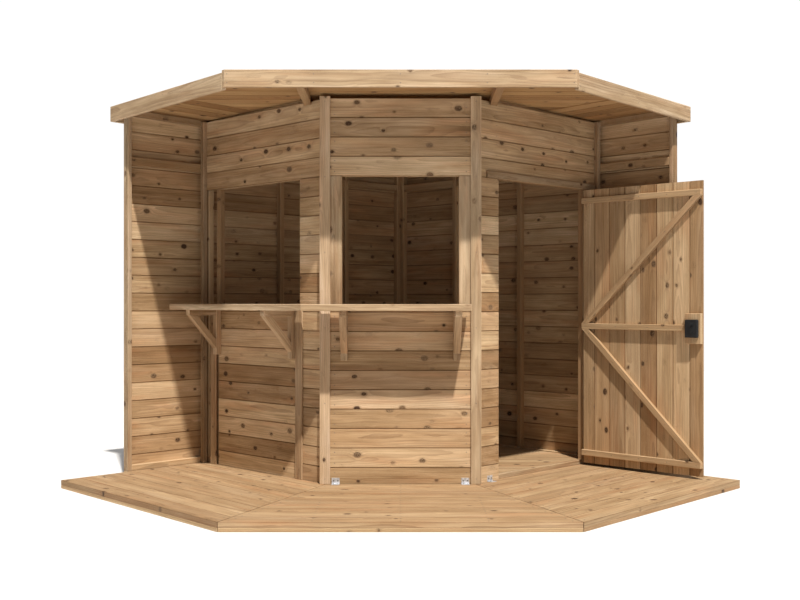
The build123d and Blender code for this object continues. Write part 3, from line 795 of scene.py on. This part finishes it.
class GardenBarSettings(bpy.types.PropertyGroup):
    """Finishes and board sizes of the garden bar."""

    pale: colour_setting("Pale boards", "Lightest board colour", (0.56, 0.415, 0.255))
    honey: colour_setting("Honey boards", "Middle board colour", (0.41, 0.268, 0.147))
    brown: colour_setting("Brown boards", "Darkest board colour and late wood", (0.21, 0.125, 0.066))
    rust: colour_setting("Red flush", "Reddish patches within a board", (0.45, 0.235, 0.115))
    ash: colour_setting("Grey bloom", "Greyish patches within a board", (0.46, 0.355, 0.255))
    knot: colour_setting("Knots", "Colour of knots", (0.050, 0.022, 0.010))
    knots: bpy.props.FloatProperty(
        name="Share of knots", description="How many places on a board hold a knot",
        subtype="FACTOR", min=0, max=1, default=0.46,
    )
    felt: colour_setting("Felt", "Colour of the roof felt", (0.045, 0.055, 0.050))
    board_chamfer: length_setting(
        "Board chamfer", "Chamfer on the edges of the cladding boards", 0.0005, 0.005, 0.003
    )
    deck_cover: length_setting("Deck board width", "Width that each deck board covers", 0.08, 0.16, 0.1185)
    deck_gap: length_setting("Deck gap", "Gap between two deck boards", 0, 0.01, 0.0012)
    roof_cover: length_setting("Roof board width", "Width that each roof board covers", 0.08, 0.16, 0.111)
    nail_radius: length_setting("Nail head", "Radius of the nail heads", 0.001, 0.006, 0.0026)
    screw_radius: length_setting("Screw head", "Radius of the deck screws' heads", 0.002, 0.008, 0.004)
    felt_width: length_setting("Felt width", "Width that each sheet of felt covers", 0.5, 1.2, 0.925)
    sun: light_setting("Key light", "Strength of the key light", 20, 5.0)
    sky: light_setting("Soft light", "Strength of the soft light from all round", 5, 0.20)
    softbox: light_setting("Softbox", "Power of the large soft light overhead", 2000, 240)


class PieceOperator(bpy.types.Operator):
    """Base of the operators that make pieces."""

    bl_options = {"REGISTER", "UNDO"}

    def execute(self, context):
        """Makes the pieces, or raises."""
        settings = context.scene.garden_bar
        self.make(settings, materials(settings))
        return {"FINISHED"}


# Boards.
WALLS = {
    "back_left_cladding": ("back_left_boards",),
    "back_right_cladding": ("back_right_boards",),
    "left_wall_cladding": ("left_wall_ends", "left_wall_panels"),
    "middle_wall_cladding": ("middle_wall_panels",),
    "right_wall_cladding": ("right_wall_ends", "right_wall_header"),
}
ROOF_PANELS = ("roof_middle", "roof_left", "roof_right")
DECK_PANELS = ("deck_middle", "deck_right", "deck_left")
VEE_DEPTHS = (0.001, 0.006)
CLADDING_SEED = 23
ROOF_SEED = 101
DECK_SEED = 201
DOOR_SEED = 301
DOOR_BOARD_GAP = 0.0015
DECK_CHAMFER = 0.0015
DECK_TONGUE = -0.02


def board_settings(material, thickness, cover, chamfer, gap=0.0007, back=0.0006, tongue=0.004):
    """Inputs of the tree of boards."""
    return {
        "Cover": cover, "Thickness": thickness, "Chamfer": chamfer, "Gap": gap,
        "Set back": back, "Tongue": tongue, "Material": material,
    }


def board_rows(solid, axis, out):
    """Place of the lowest vee along an axis on a CAD slab's faces, and the width of a board."""
    low, high = solid.span(out)
    shallow, deep = VEE_DEPTHS
    vees = sorted({
        round(p.dot(axis), 4) for p in solid.points
        if any(shallow < depth < deep for depth in (high - p.dot(out), p.dot(out) - low))
    })
    return vees[0], (vees[-1] - vees[0]) / (len(vees) - 1)


def wall_rows():
    """Height of the lowest joint of the wall boards, and the width that each board covers."""
    wall = solids("back_left_boards")[0]
    return board_rows(wall, UP, outwards(wall))


class GARDENBAR_OT_cladding(PieceOperator):
    """Boards of all five walls"""

    bl_idname = "gardenbar.cladding"
    bl_label = "Wall boards"

    def make(self, settings, finishes):
        """One piece for each wall."""
        finish = finishes["Cladding boards"]
        wall = solids("middle_wall_panels")[0]
        start, cover = wall_rows()
        inputs = board_settings(finish, wall.depth(outwards(wall)), cover, settings.board_chamfer)
        seed = CLADDING_SEED
        for name, nodes in WALLS.items():
            bm = bmesh.new()
            for solid in solids(*nodes):
                facing = outwards(solid)
                along = UP.cross(facing).normalized()
                lay_boards(bm, solid, along, facing, inputs, seed, start)
                seed += 1
            finish_piece(name, bm, BUILDING, finish, nodes)


class GARDENBAR_OT_roof_boards(PieceOperator):
    """Boards under the felt, in three panels"""

    bl_idname = "gardenbar.roof_boards"
    bl_label = "Roof boards"

    def make(self, settings, finishes):
        """Middle panel along the front, side panels along the back edges."""
        finish = finishes["Roof boards"]
        for seed, name in enumerate(ROOF_PANELS, ROOF_SEED):
            solid = solids(name)[0]
            out = turned_to(solid.broad_normal(), -UP)
            along = RIGHT if name == "roof_middle" else solid.longest_edge()
            inputs = board_settings(finish, solid.depth(out), settings.roof_cover, settings.board_chamfer)
            bm = bmesh.new()
            lay_boards(bm, solid, along, out, inputs, seed)
            finish_piece(name + "_boards", bm, BUILDING, finish, [name])


class GARDENBAR_OT_deck_boards(PieceOperator):
    """Boards of the three deck panels and of the floor"""

    bl_idname = "gardenbar.deck_boards"
    bl_label = "Deck and floor boards"

    def make(self, settings, finishes):
        """Boards along each panel's front edge."""
        finish = finishes["Deck boards"]
        for seed, name in enumerate((*DECK_PANELS, "floor_boards"), DECK_SEED):
            solid = solids(name)[0]
            on_floor = name == "floor_boards"
            inputs = board_settings(
                finish, solid.depth(UP), settings.deck_cover, DECK_CHAMFER,
                gap=settings.deck_gap, tongue=DECK_TONGUE,
            )
            bm = bmesh.new()
            lay_boards(bm, solid, RIGHT if on_floor else solid.longest_edge(), UP, inputs, seed)
            finish_piece(name + "_laid", bm, BUILDING, finish, [name])


class GARDENBAR_OT_door_boards(PieceOperator):
    """Upright boards of the door"""

    bl_idname = "gardenbar.door_boards"
    bl_label = "Door boards"

    def make(self, settings, finishes):
        """Boards between the joints of the CAD door."""
        finish = finishes["Door boards"]
        solid = solids("door_boards")[0]
        out = solid.broad_normal()
        start, cover = board_rows(solid, out.cross(UP).normalized(), out)
        inputs = board_settings(finish, solid.depth(out), cover, settings.board_chamfer, DOOR_BOARD_GAP)
        bm = bmesh.new()
        lay_boards(bm, solid, UP, out, inputs, DOOR_SEED, start)
        finish_piece("door_boards_laid", bm, DOOR, finish, ["door_boards"])


# Timbers.
TIMBERS = {
    "frame": ("base_bearers", "floor_joists", "back_studs", "back_rails", "front_studs", "front_rails"),
    "trim": (
        "middle_wall_jambs", "corner_posts", "wing_end_boards", "inner_battens", "hatch_battens",
        "door_head_batten", "door_sill",
    ),
    "counter": ("left_counter", "middle_counter"),
    "roof_timber": ("rafters", "roof_wedges"),
    "fascia": ("front_fascia", "side_fascias", "back_fascia_left", "back_fascia_right"),
    "deck": ("deck_bearers",),
    "door": ("door_ledges", "door_braces", "lock_block"),
}
TIMBER_FINISHES = {
    "frame": "Sawn framing", "roof_timber": "Sawn framing", "deck": "Sawn framing",
    "fascia": "Fascia boards", "counter": "Fascia boards", "door": "Door timbers", "trim": "Planed trim",
}
TIMBER_ARRIS = 0.002
BRACKET_ARRIS = 0.0015
BRACKET_SEAM = 0.0003
BRACKET_SEEDS = {"left_brackets": 31, "middle_brackets": 38}


class GARDENBAR_OT_timbers(PieceOperator):
    """Framing, trim, counters, rafters, fascias and the door's ledges and braces"""

    bl_idname = "gardenbar.timbers"
    bl_label = "Timbers"

    def make(self, settings, finishes):
        """Each CAD timber with eased edges and its own grain."""
        seed = 1
        for slot, names in TIMBERS.items():
            for name in names:
                bm = merged(name)
                grain_of(bm, seed)
                ease_edges(bm, TIMBER_ARRIS)
                body = cad_nodes[name]["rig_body"]
                finish_piece(name + "_timber", bm, body, finishes[TIMBER_FINISHES[slot]], [name])
                seed += 1


class GARDENBAR_OT_brackets(PieceOperator):
    """Counter brackets, each a leg, an arm and a brace"""

    bl_idname = "gardenbar.brackets"
    bl_label = "Brackets"

    def make(self, settings, finishes):
        """The CAD bracket parted at its two joints."""
        for name, seed in BRACKET_SEEDS.items():
            pair = solids(name)
            solid = pair[0]
            out = UP.cross(solid.broad_normal()).normalized()
            out = turned_to(out, pair[0].middle + pair[-1].middle - CENTRE * 2)
            reaches = sorted({round(p.dot(out), 4) for p in solid.points})
            heights = sorted({round(p.z, 4) for p in solid.points})
            joint_out = reaches[1]
            joint_up = heights[-1] - (reaches[1] - reaches[0])
            inner, outer = out * (joint_out - BRACKET_SEAM), out * (joint_out + BRACKET_SEAM)
            under, over = UP * (joint_up - BRACKET_SEAM), UP * (joint_up + BRACKET_SEAM)
            leg = (UP, ((inner, out),))
            arm = (out, ((outer, -out), (over, -UP)))
            brace = (None, ((outer, -out), (under, UP)))
            whole = bmesh.new()
            for n, (along, cuts) in enumerate((leg, arm, brace)):
                bm = merged(name)
                for point, normal in cuts:
                    cut_off(bm, point, normal)
                grain_of(bm, seed + n, along)
                ease_edges(bm, BRACKET_ARRIS)
                add_part(whole, bm)
            finish_piece(name + "_timber", whole, BUILDING, finishes["Fascia boards"], [name])


# Fixings. Each kind has a radius and a crown, or only a crown where its radius is a setting.
NAIL_CROWN = 0.0005
DECK_SCREW_CROWN = 0.0004
PLATE_SCREW = (0.0045, 0.002)
HINGE_SCREW = (0.0045, 0.0012)
LOCK_SCREW = (0.0035, 0.001)
CLOUT = (0.0045, 0.0006)
COVER_NAIL_STEPS = {"corner_posts": 0.45, "inner_battens": 0.5, "hatch_battens": 0.33}
FASCIA_NAIL_STEP = 0.5
LEDGE_NAIL_STEP = 0.22
BRACE_NAIL_STEP = 0.30
BRACE_NAIL_INSET = 0.06
FASCIA_NAIL_ROWS = (0.25, 0.75)
BOARD_NAIL_SPOTS = (0.22, 0.78)
DOOR_NAIL_SPOTS = (0.3, 0.7)
DOOR_NAIL_COVER = 0.112
STUD_TOUCH = 0.002
SLAB_END = 0.01
ONE_NAIL_BOARD = 0.06
NO_NAIL_BOARD = 0.02
DECK_SCREW_SPOTS = (0.24, 0.76)
BEARER_SPACING = 0.42
BEARERS_EACH_WAY = 9
DECK_END_SCREW = 0.035
DECK_END_CLEAR = 0.15
PLATE_SCREW_SIDE = 0.012
STRAP_SCREW_SHARES = (0.15, 0.45, 0.72, 0.95)
FLAP_SCREW_RISE = 0.042
LINE_ENDS = 10.0


class Heads:
    """Places and directions of the heads of one kind of fixing."""

    def __init__(self):
        self.points = []
        self.facings = []

    def add(self, point, facing):
        """One head on a face."""
        self.points.append(point)
        self.facings.append(facing)

    def piece(self, name, body, slot, material, radius, crown):
        """All heads of one body as one piece."""
        mesh = bpy.data.meshes.new("heads")
        mesh.from_pydata(self.points, [], [])
        facing = mesh.attributes.new("facing", "FLOAT_VECTOR", "POINT")
        facing.data.foreach_set("vector", [v for one in self.facings for v in one])
        inputs = {"Radius": radius, "Crown": crown, "Material": material}
        bm = grown("Fixing heads", fixings_tree, mesh, inputs)
        finish_piece(name, bm, body, material)


def nails_on_studs(heads, slab, studs, start, cover):
    """Two nails in each board where a stud lies behind it, or one in a narrow board."""
    out = outwards(slab)
    along = UP.cross(out)
    low, high = slab.span(along)
    inner, face = slab.span(out)
    bottom, top = slab.span(UP)
    for stud in studs:
        place = sum(stud.span(along)) / 2
        behind = abs(stud.span(out)[1] - inner) < STUD_TOUCH
        if not behind or not low + SLAB_END < place < high - SLAB_END:
            continue
        row = math.floor((bottom - start) / cover)
        while start + row * cover < top:
            z0 = max(start + row * cover, bottom, stud.span(UP)[0])
            z1 = min(start + (row + 1) * cover, top, stud.span(UP)[1])
            spots = BOARD_NAIL_SPOTS if z1 - z0 > ONE_NAIL_BOARD else (0.5,)
            if z1 - z0 > NO_NAIL_BOARD:
                for spot in spots:
                    heads.add(out * face + along * place + UP * (z0 + (z1 - z0) * spot), out)
            row += 1


def heads_along(heads, solid, out, step, rows=(0.5,), inset=0.03):
    """Heads along a timber's length on the face that looks one way."""
    along = solid.longest_edge()
    across = out.cross(along).normalized()
    low, high = solid.span(along)
    side_low, side_high = solid.span(across)
    level = out * solid.face_towards(out)[0].dot(out)
    count = max(2, round((high - low) / step) + 1)
    for n in range(count):
        place = low + inset + (high - low - 2 * inset) * n / (count - 1)
        for row in rows:
            side = side_low + (side_high - side_low) * row
            heads.add(along * place + across * side + level, out)


def reach_within(planes, point, along):
    """How far a line runs both ways from a point before it leaves a slab."""
    low, high = -LINE_ENDS, LINE_ENDS
    for on, normal in planes:
        slope = normal.dot(along)
        if abs(slope) > 1e-6:
            limit = (on - point).dot(normal) / slope
            low, high = (low, min(high, limit)) if slope > 0 else (max(low, limit), high)
    return low, high


def deck_heads(heads, panel, cover):
    """Two screws in each deck board over every bearer line and beside its mitred ends."""
    along = panel.longest_edge()
    across = UP.cross(along)
    planes = side_planes(panel, UP, across)
    low, high = panel.span(across)
    centre = along * panel.face_towards(UP)[0].dot(along) + UP * panel.span(UP)[1]
    bearers = [n * BEARER_SPACING for n in range(-BEARERS_EACH_WAY, BEARERS_EACH_WAY + 1)]
    for row in range(math.ceil((high - low) / cover)):
        for spot in DECK_SCREW_SPOTS:
            place = low + cover * (row + spot)
            if place > high - SLAB_END:
                continue
            line = centre + across * place
            start, end = reach_within(planes, line, along)
            between = [b for b in bearers if start + DECK_END_CLEAR < b < end - DECK_END_CLEAR]
            for distance in (start + DECK_END_SCREW, *between, end - DECK_END_SCREW):
                heads.add(line + along * distance, UP)


class GARDENBAR_OT_wall_nails(PieceOperator):
    """Nails of the wall boards, the cover boards and the fascias"""

    bl_idname = "gardenbar.wall_nails"
    bl_label = "Wall nails"

    def make(self, settings, finishes):
        """Heads on every stud and along every cover board."""
        nails = Heads()
        start, cover = wall_rows()
        studs = solids("front_studs", "back_studs")
        for nodes in WALLS.values():
            for slab in solids(*nodes):
                nails_on_studs(nails, slab, studs, start, cover)
        for name, step in COVER_NAIL_STEPS.items():
            for solid in solids(name):
                heads_along(nails, solid, outwards(solid), step)
        for solid in solids(*TIMBERS["fascia"]):
            heads_along(nails, solid, outwards(solid), FASCIA_NAIL_STEP, FASCIA_NAIL_ROWS)
        radius = settings.nail_radius
        nails.piece("wall_nails", BUILDING, "zinc", finishes["Nail head"], radius, NAIL_CROWN)


class GARDENBAR_OT_deck_screws(PieceOperator):
    """Screws of the deck boards and of the angle plates"""

    bl_idname = "gardenbar.deck_screws"
    bl_label = "Deck screws"

    def make(self, settings, finishes):
        """Heads over the bearers and on both legs of each plate."""
        screws = Heads()
        for panel in solids(*DECK_PANELS):
            deck_heads(screws, panel, settings.deck_cover)
        radius = settings.screw_radius
        screws.piece("deck_screws", BUILDING, "deck", finishes["Nail head"], radius, DECK_SCREW_CROWN)
        bolts = Heads()
        for plate in solids("angle_plates"):
            out = outwards(plate)
            for facing in (out, UP):
                centre, normal = plate.face_towards(facing)
                for shift in (-PLATE_SCREW_SIDE, PLATE_SCREW_SIDE):
                    bolts.add(centre + UP.cross(out) * shift, normal)
        bolts.piece("plate_screws", BUILDING, "zinc", finishes["Nail head"], *PLATE_SCREW)


class GARDENBAR_OT_door_fixings(PieceOperator):
    """Nails of the door and screws of its hinges"""

    bl_idname = "gardenbar.door_fixings"
    bl_label = "Door fixings"

    def make(self, settings, finishes):
        """Heads on both faces of the door, on the straps and on the flaps."""
        boards = solids("door_boards")[0]
        ledges = solids("door_ledges")
        outside = turned_to(boards.broad_normal(), boards.middle - ledges[0].middle)
        self.door_nails(settings, finishes, boards, ledges, outside)
        self.hinge_screws(finishes, outside)

    def door_nails(self, settings, finishes, boards, ledges, outside):
        """Two nails in each board at each ledge, and a row along each ledge and brace."""
        across = outside.cross(UP)
        low, high = boards.span(across)
        count = round((high - low) / DOOR_NAIL_COVER)
        spots = [(n + part) / count for n in range(count) for part in DOOR_NAIL_SPOTS]
        nails = Heads()
        for ledge in ledges:
            for spot in spots:
                place = across * (low + (high - low) * spot) + UP * ledge.middle.z
                nails.add(place + outside * boards.span(outside)[1], outside)
            heads_along(nails, ledge, -outside, LEDGE_NAIL_STEP)
        for solid in solids("door_braces"):
            heads_along(nails, solid, -outside, BRACE_NAIL_STEP, inset=BRACE_NAIL_INSET)
        nails.piece("door_nails", DOOR, "zinc", finishes["Nail head"], settings.nail_radius, NAIL_CROWN)

    def hinge_screws(self, finishes, outside):
        """Four screws in each strap and three in each flap."""
        across = outside.cross(UP)
        straps = Heads()
        for strap in solids("hinge_straps"):
            centre, normal = strap.face_towards(outside)
            away = turned_to(across, centre - PIN)
            length = strap.span(away)[1] - PIN.dot(away)
            for share in STRAP_SCREW_SHARES:
                place = away * (PIN.dot(away) + length * share) + UP * centre.z
                straps.add(place + normal * centre.dot(normal), normal)
        straps.piece("strap_screws", DOOR, "hinge_steel", finishes["Black hinge"], *HINGE_SCREW)
        flaps = Heads()
        for flap in solids("hinge_flaps"):
            centre, normal = flap.face_towards(outwards(flap))
            for rise in (-FLAP_SCREW_RISE, 0.0, FLAP_SCREW_RISE):
                flaps.add(centre + UP * rise, normal)
        flaps.piece("flap_screws", BUILDING, "hinge_steel", finishes["Black hinge"], *HINGE_SCREW)


# The lock.
CASE_ROUNDING = 0.006
FITTING_RISE = 0.022
SNIB_DROP = -0.024
SCREW_SIDE = 0.031
SCREW_RISE = 0.042
RIM_ANGLE = 1.0
KEYHOLE = (0.0016, 0.009, 0.0004)
KEYHOLE_LIFT = 0.0046


def facing_place(point, facing, across):
    """Turn and place of something that lies on a face, with its top upwards."""
    return Matrix.Translation(point) @ Matrix((across, UP, facing)).transposed().to_4x4()


def add_disc(bm, place, radius, depth, sides, taper, ease, wide=1.0):
    """Tapered disc with eased rims."""
    made = bmesh.ops.create_cone(
        bm, cap_ends=True, segments=sides, radius1=radius, radius2=radius * taper, depth=depth,
        matrix=place @ Matrix.Diagonal((wide, 1.0, 1.0, 1.0)),
    )
    disc = set(made["verts"])
    edges = [e for e in bm.edges if e.verts[0] in disc and len(e.link_faces) == 2]
    rim = [e for e in edges if e.calc_face_angle() > RIM_ANGLE]
    bmesh.ops.bevel(bm, geom=rim, offset=ease, segments=2, affect="EDGES")


class GARDENBAR_OT_lock(PieceOperator):
    """Rim lock with rounded case, thumb turn, snib and screws, and its cylinder outside"""

    bl_idname = "gardenbar.lock"
    bl_label = "Rim lock"

    def make(self, settings, finishes):
        """Case from the CAD solid, with its fittings on the face."""
        solid = solids("rim_lock")[0]
        inside = turned_to(solid.broad_normal(), solid.middle - solids("lock_block")[0].middle)
        centre, facing = solid.face_towards(inside)
        self.case(finishes, centre, facing)
        outside = -facing
        depth = solids("door_boards")[0].span(outside)[1] - centre.dot(outside)
        self.cylinder(finishes, centre + outside * depth + UP * FITTING_RISE, outside)

    def case(self, finishes, centre, facing):
        """Rounded case with a rose, a thumb turn and a snib, and its four screws."""
        across = facing.cross(UP)
        bm = merged("rim_lock")
        bmesh.ops.bevel(
            bm, geom=bm.edges[:], offset=CASE_ROUNDING, segments=3, profile=0.6, affect="EDGES"
        )
        rose = (0.017, 0.003, 32, FITTING_RISE, 1.0)
        turn = (0.011, 0.012, 24, FITTING_RISE, 1.0)
        snib = (0.006, 0.004, 20, SNIB_DROP, 2.4)
        for radius, depth, sides, rise, wide in (rose, turn, snib):
            place = facing_place(centre + UP * rise + facing * depth / 2, facing, across)
            add_disc(bm, place, radius, depth, sides, 0.92, 0.0008, wide)
        finish_piece("rim_lock_case", bm, DOOR, finishes["Lock case"], ["rim_lock"])
        screws = Heads()
        for side in (-SCREW_SIDE, SCREW_SIDE):
            for rise in (-SCREW_RISE, SCREW_RISE):
                screws.add(centre + across * side + UP * rise, facing)
        screws.piece("lock_screws", DOOR, "lock", finishes["Black hinge"], *LOCK_SCREW)

    def cylinder(self, finishes, spot, outside):
        """Rose and plug on the outside of the door, with a slot for the key."""
        across = UP.cross(outside)
        bm = bmesh.new()
        rose = (0.016, 0.0, 0.003)
        plug = (0.0085, 0.003, 0.0045)
        for radius, low, high in (rose, plug):
            place = facing_place(spot + outside * (low + high) / 2, outside, across)
            add_disc(bm, place, radius, high - low, 32, 0.9, 0.0005)
        finish_piece("lock_cylinder", bm, DOOR, finishes["Zinc plate"])
        bm = bmesh.new()
        place = facing_place(spot + outside * KEYHOLE_LIFT, outside, across)
        bmesh.ops.create_cube(bm, size=1.0, matrix=place @ Matrix.Diagonal((*KEYHOLE, 1)))
        bmesh.ops.bevel(bm, geom=bm.edges[:], offset=0.0001, segments=1, affect="EDGES")
        finish_piece("lock_keyhole", bm, DOOR, finishes["Lock case"])


# The roof felt.
FELT_STEP = 0.002
FELT_LIFT = 0.0002
HIDDEN_UNDERSIDE = 0.0015
NARROWEST_SHEET = 0.1
LAP_CLOUTS = (0.02, 0.05)
EDGE_CLOUTS = (0.015, 0.10)
CLOUT_MARGIN = 0.015


class GARDENBAR_OT_felt(PieceOperator):
    """Laps of the felt sheets and the clout nails that hold them"""

    bl_idname = "gardenbar.felt"
    bl_label = "Felt laps"

    def make(self, settings, finishes):
        """Each sheet but the lowest laps over the one below it, towards the back."""
        felt = solids("roof_felt")[0]
        plane = felt.face_towards(UP)
        planes = side_planes(felt, UP, RIGHT)
        front, back = felt.span(BACKWARDS)
        lap_inset, lap_spacing = LAP_CLOUTS
        edge_inset, edge_spacing = EDGE_CLOUTS
        clouts = Heads()
        whole = bmesh.new()
        lower = back - settings.felt_width
        while lower > front + NARROWEST_SHEET:
            upper = max(lower - settings.felt_width, front)
            add_part(whole, self.sheet(plane, lower, upper))
            point = BACKWARDS * (lower - lap_inset)
            self.row(clouts, plane, planes, point, RIGHT, lap_spacing, FELT_STEP)
            lower -= settings.felt_width
        for point, normal in planes:
            point = point - normal * edge_inset
            self.row(clouts, plane, planes, point, UP.cross(normal), edge_spacing, FELT_STEP * 0.6)
        finish_piece("felt_laps", whole, BUILDING, finishes["Mineral felt"])
        clouts.piece("felt_clouts", BUILDING, "zinc", finishes["Zinc plate"], *CLOUT)

    def sheet(self, plane, lower, upper):
        """One sheet, which rises from its upper edge to the lap at its lower one."""
        centre, slope = plane
        bm = merged("roof_felt")
        cut_off(bm, BACKWARDS * lower, BACKWARDS)
        cut_off(bm, BACKWARDS * upper, -BACKWARDS)
        for vert in bm.verts:
            above = (vert.co - centre).dot(slope) > -0.001
            share = (vert.co.y - upper) / (lower - upper)
            vert.co.z += FELT_LIFT + FELT_STEP * share if above else HIDDEN_UNDERSIDE
        return bm

    def row(self, clouts, plane, planes, point, along, spacing, rise):
        """Clouts on one line across the felt."""
        centre, slope = plane
        start, end = reach_within(planes, point, along)
        length = end - start - 2 * CLOUT_MARGIN
        count = int(length / spacing)
        for n in range(count + 1):
            place = point + along * (start + CLOUT_MARGIN + length * n / count)
            place = place - UP * ((place - centre).dot(slope) / slope.z) + UP * rise
            clouts.add(place, slope)


# CAD pieces that keep their own mesh.
CAD_FINISHES = {
    "roof_felt": "Mineral felt",
    "hinge_straps": "Black hinge",
    "hinge_flaps": "Black hinge",
    "angle_plates": "Zinc plate",
}


class GARDENBAR_OT_finishes(PieceOperator):
    """Finishes of the CAD pieces that stay as they are"""

    bl_idname = "gardenbar.finishes"
    bl_label = "Metal and felt"

    def make(self, settings, finishes):
        """Gives each such node its material."""
        for name, finish in CAD_FINISHES.items():
            cad_nodes[name].data.materials.clear()
            cad_nodes[name].data.materials.append(finishes[finish])


# The stage. Photo lengths are pixels of the 800 x 600 frame.
FLOOR_RADIUS = 11.0
PAPER_STRENGTH = 1.02
SUN_WAY = Vector((-0.30, 1.0, -1.75))
SUN_ANGLE = math.radians(1.6)
SOFTBOX_SIZE = 12.0
SOFTBOX_HEIGHT = 7.0
PHOTO_WIDTH = 800.0
PHOTO_FOCAL = 1083.0
PHOTO_SHIFT = (-0.5, 1.5)
SENSOR = 36.0
CAMERA_DISTANCE = 6.18
EYE_HEIGHT = 1.089


def studio_floor():
    """Pale round floor under the lowest point."""
    bm = bmesh.new()
    bmesh.ops.create_circle(bm, cap_ends=True, segments=96, radius=FLOOR_RADIUS)
    mesh = bpy.data.meshes.new("studio_floor")
    bm.to_mesh(mesh)
    bm.free()
    graph, surface = shader("Studio floor", 0.9, specular=0.1)
    cloud = graph.noise(graph.node("ShaderNodeTexCoord").outputs["Object"], 0.5, 2.0)
    shade = graph.blend(cloud, (0.73, 0.73, 0.73, 1), (0.76, 0.76, 0.76, 1))
    graph.feed(surface.inputs["Base Color"], shade)
    mesh.materials.append(bpy.data.materials["Studio floor"])
    ground = linked("studio_floor", mesh)
    ground.location.z = cad_low.z


def studio_world(strength):
    """Soft light from all round, and white paper where the camera sees past the floor."""
    world = bpy.data.worlds.new("Studio light")
    world.use_nodes = True
    world.node_tree.nodes.clear()
    bpy.context.scene.world = world
    graph = Graph(world.node_tree)
    seen = graph.node("ShaderNodeLightPath").outputs["Is Camera Ray"]
    sky, paper = (
        graph.node("ShaderNodeBackground", {"Color": colour, "Strength": power}).outputs[0]
        for colour, power in (((0.95, 0.97, 1.0, 1), strength), ((1, 1, 1, 1), PAPER_STRENGTH))
    )
    both = graph.node("ShaderNodeMixShader", {0: seen, 1: sky, 2: paper})
    graph.node("ShaderNodeOutputWorld", {"Surface": both.outputs[0]})


def studio_lamps(settings):
    """Key light from above the front right, and a large softbox overhead."""
    key = bpy.data.lights.new("Key light", "SUN")
    key.energy = settings.sun
    key.angle = SUN_ANGLE
    key.color = (1.0, 0.96, 0.90)
    linked("Key light", key).rotation_euler = SUN_WAY.to_track_quat("-Z", "Y").to_euler()
    panel = bpy.data.lights.new("Softbox", "AREA")
    panel.size = SOFTBOX_SIZE
    panel.energy = settings.softbox
    above = linked("Softbox", panel)
    above.location = UP * SOFTBOX_HEIGHT
    above.visible_camera = False


def photo_camera():
    """Level camera, square on to the middle wall as in the photograph."""
    camera = bpy.data.cameras.new("Photo camera")
    camera.sensor_width = SENSOR
    camera.lens = SENSOR * PHOTO_FOCAL / PHOTO_WIDTH
    camera.shift_x, camera.shift_y = (shift / PHOTO_WIDTH for shift in PHOTO_SHIFT)
    eye = linked("Photo camera", camera)
    eye.location = (0.0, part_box("middle_wall_panels")[0].y - CAMERA_DISTANCE, EYE_HEIGHT)
    eye.rotation_euler = (math.radians(90), 0.0, 0.0)
    bpy.context.scene.camera = eye


class GARDENBAR_OT_stage(PieceOperator):
    """Pale floor, soft light and the camera at the photograph's angle"""

    bl_idname = "gardenbar.stage"
    bl_label = "Studio"

    def make(self, settings, finishes):
        """Nothing here is part of the garden bar."""
        studio_floor()
        studio_world(settings.sky)
        studio_lamps(settings)
        photo_camera()
        bpy.context.scene.view_settings.view_transform = "Standard"


class GARDENBAR_PT_panel(bpy.types.Panel):
    """Sizes, colours and the steps that dress the frame"""

    bl_label = "Garden bar"
    bl_idname = "GARDENBAR_PT_panel"
    bl_space_type = "VIEW_3D"
    bl_region_type = "UI"
    bl_category = "Garden bar"

    def draw(self, context):
        """Settings first, then one button for each operator."""
        settings = context.scene.garden_bar
        for name in settings.__annotations__:
            self.layout.prop(settings, name)
        for operator in OPERATORS:
            self.layout.operator(operator.bl_idname)


OPERATORS = (
    GARDENBAR_OT_stage,
    GARDENBAR_OT_cladding,
    GARDENBAR_OT_roof_boards,
    GARDENBAR_OT_deck_boards,
    GARDENBAR_OT_door_boards,
    GARDENBAR_OT_timbers,
    GARDENBAR_OT_brackets,
    GARDENBAR_OT_wall_nails,
    GARDENBAR_OT_deck_screws,
    GARDENBAR_OT_door_fixings,
    GARDENBAR_OT_lock,
    GARDENBAR_OT_felt,
    GARDENBAR_OT_finishes,
)
CLASSES = (GardenBarSettings, *OPERATORS, GARDENBAR_PT_panel)


def register():
    """Registers the classes and the settings of the scene."""
    for one in CLASSES:
        bpy.utils.register_class(one)
    bpy.types.Scene.garden_bar = bpy.props.PointerProperty(type=GardenBarSettings)


def unregister():
    """Takes the settings and the classes away again."""
    del bpy.types.Scene.garden_bar
    for one in reversed(CLASSES):
        bpy.utils.unregister_class(one)


def main():
    """Makes every piece."""
    register()
    for operator in OPERATORS:
        group, name = operator.bl_idname.split(".")
        getattr(getattr(bpy.ops, group), name)()


if __name__ == "__main__":
    main()
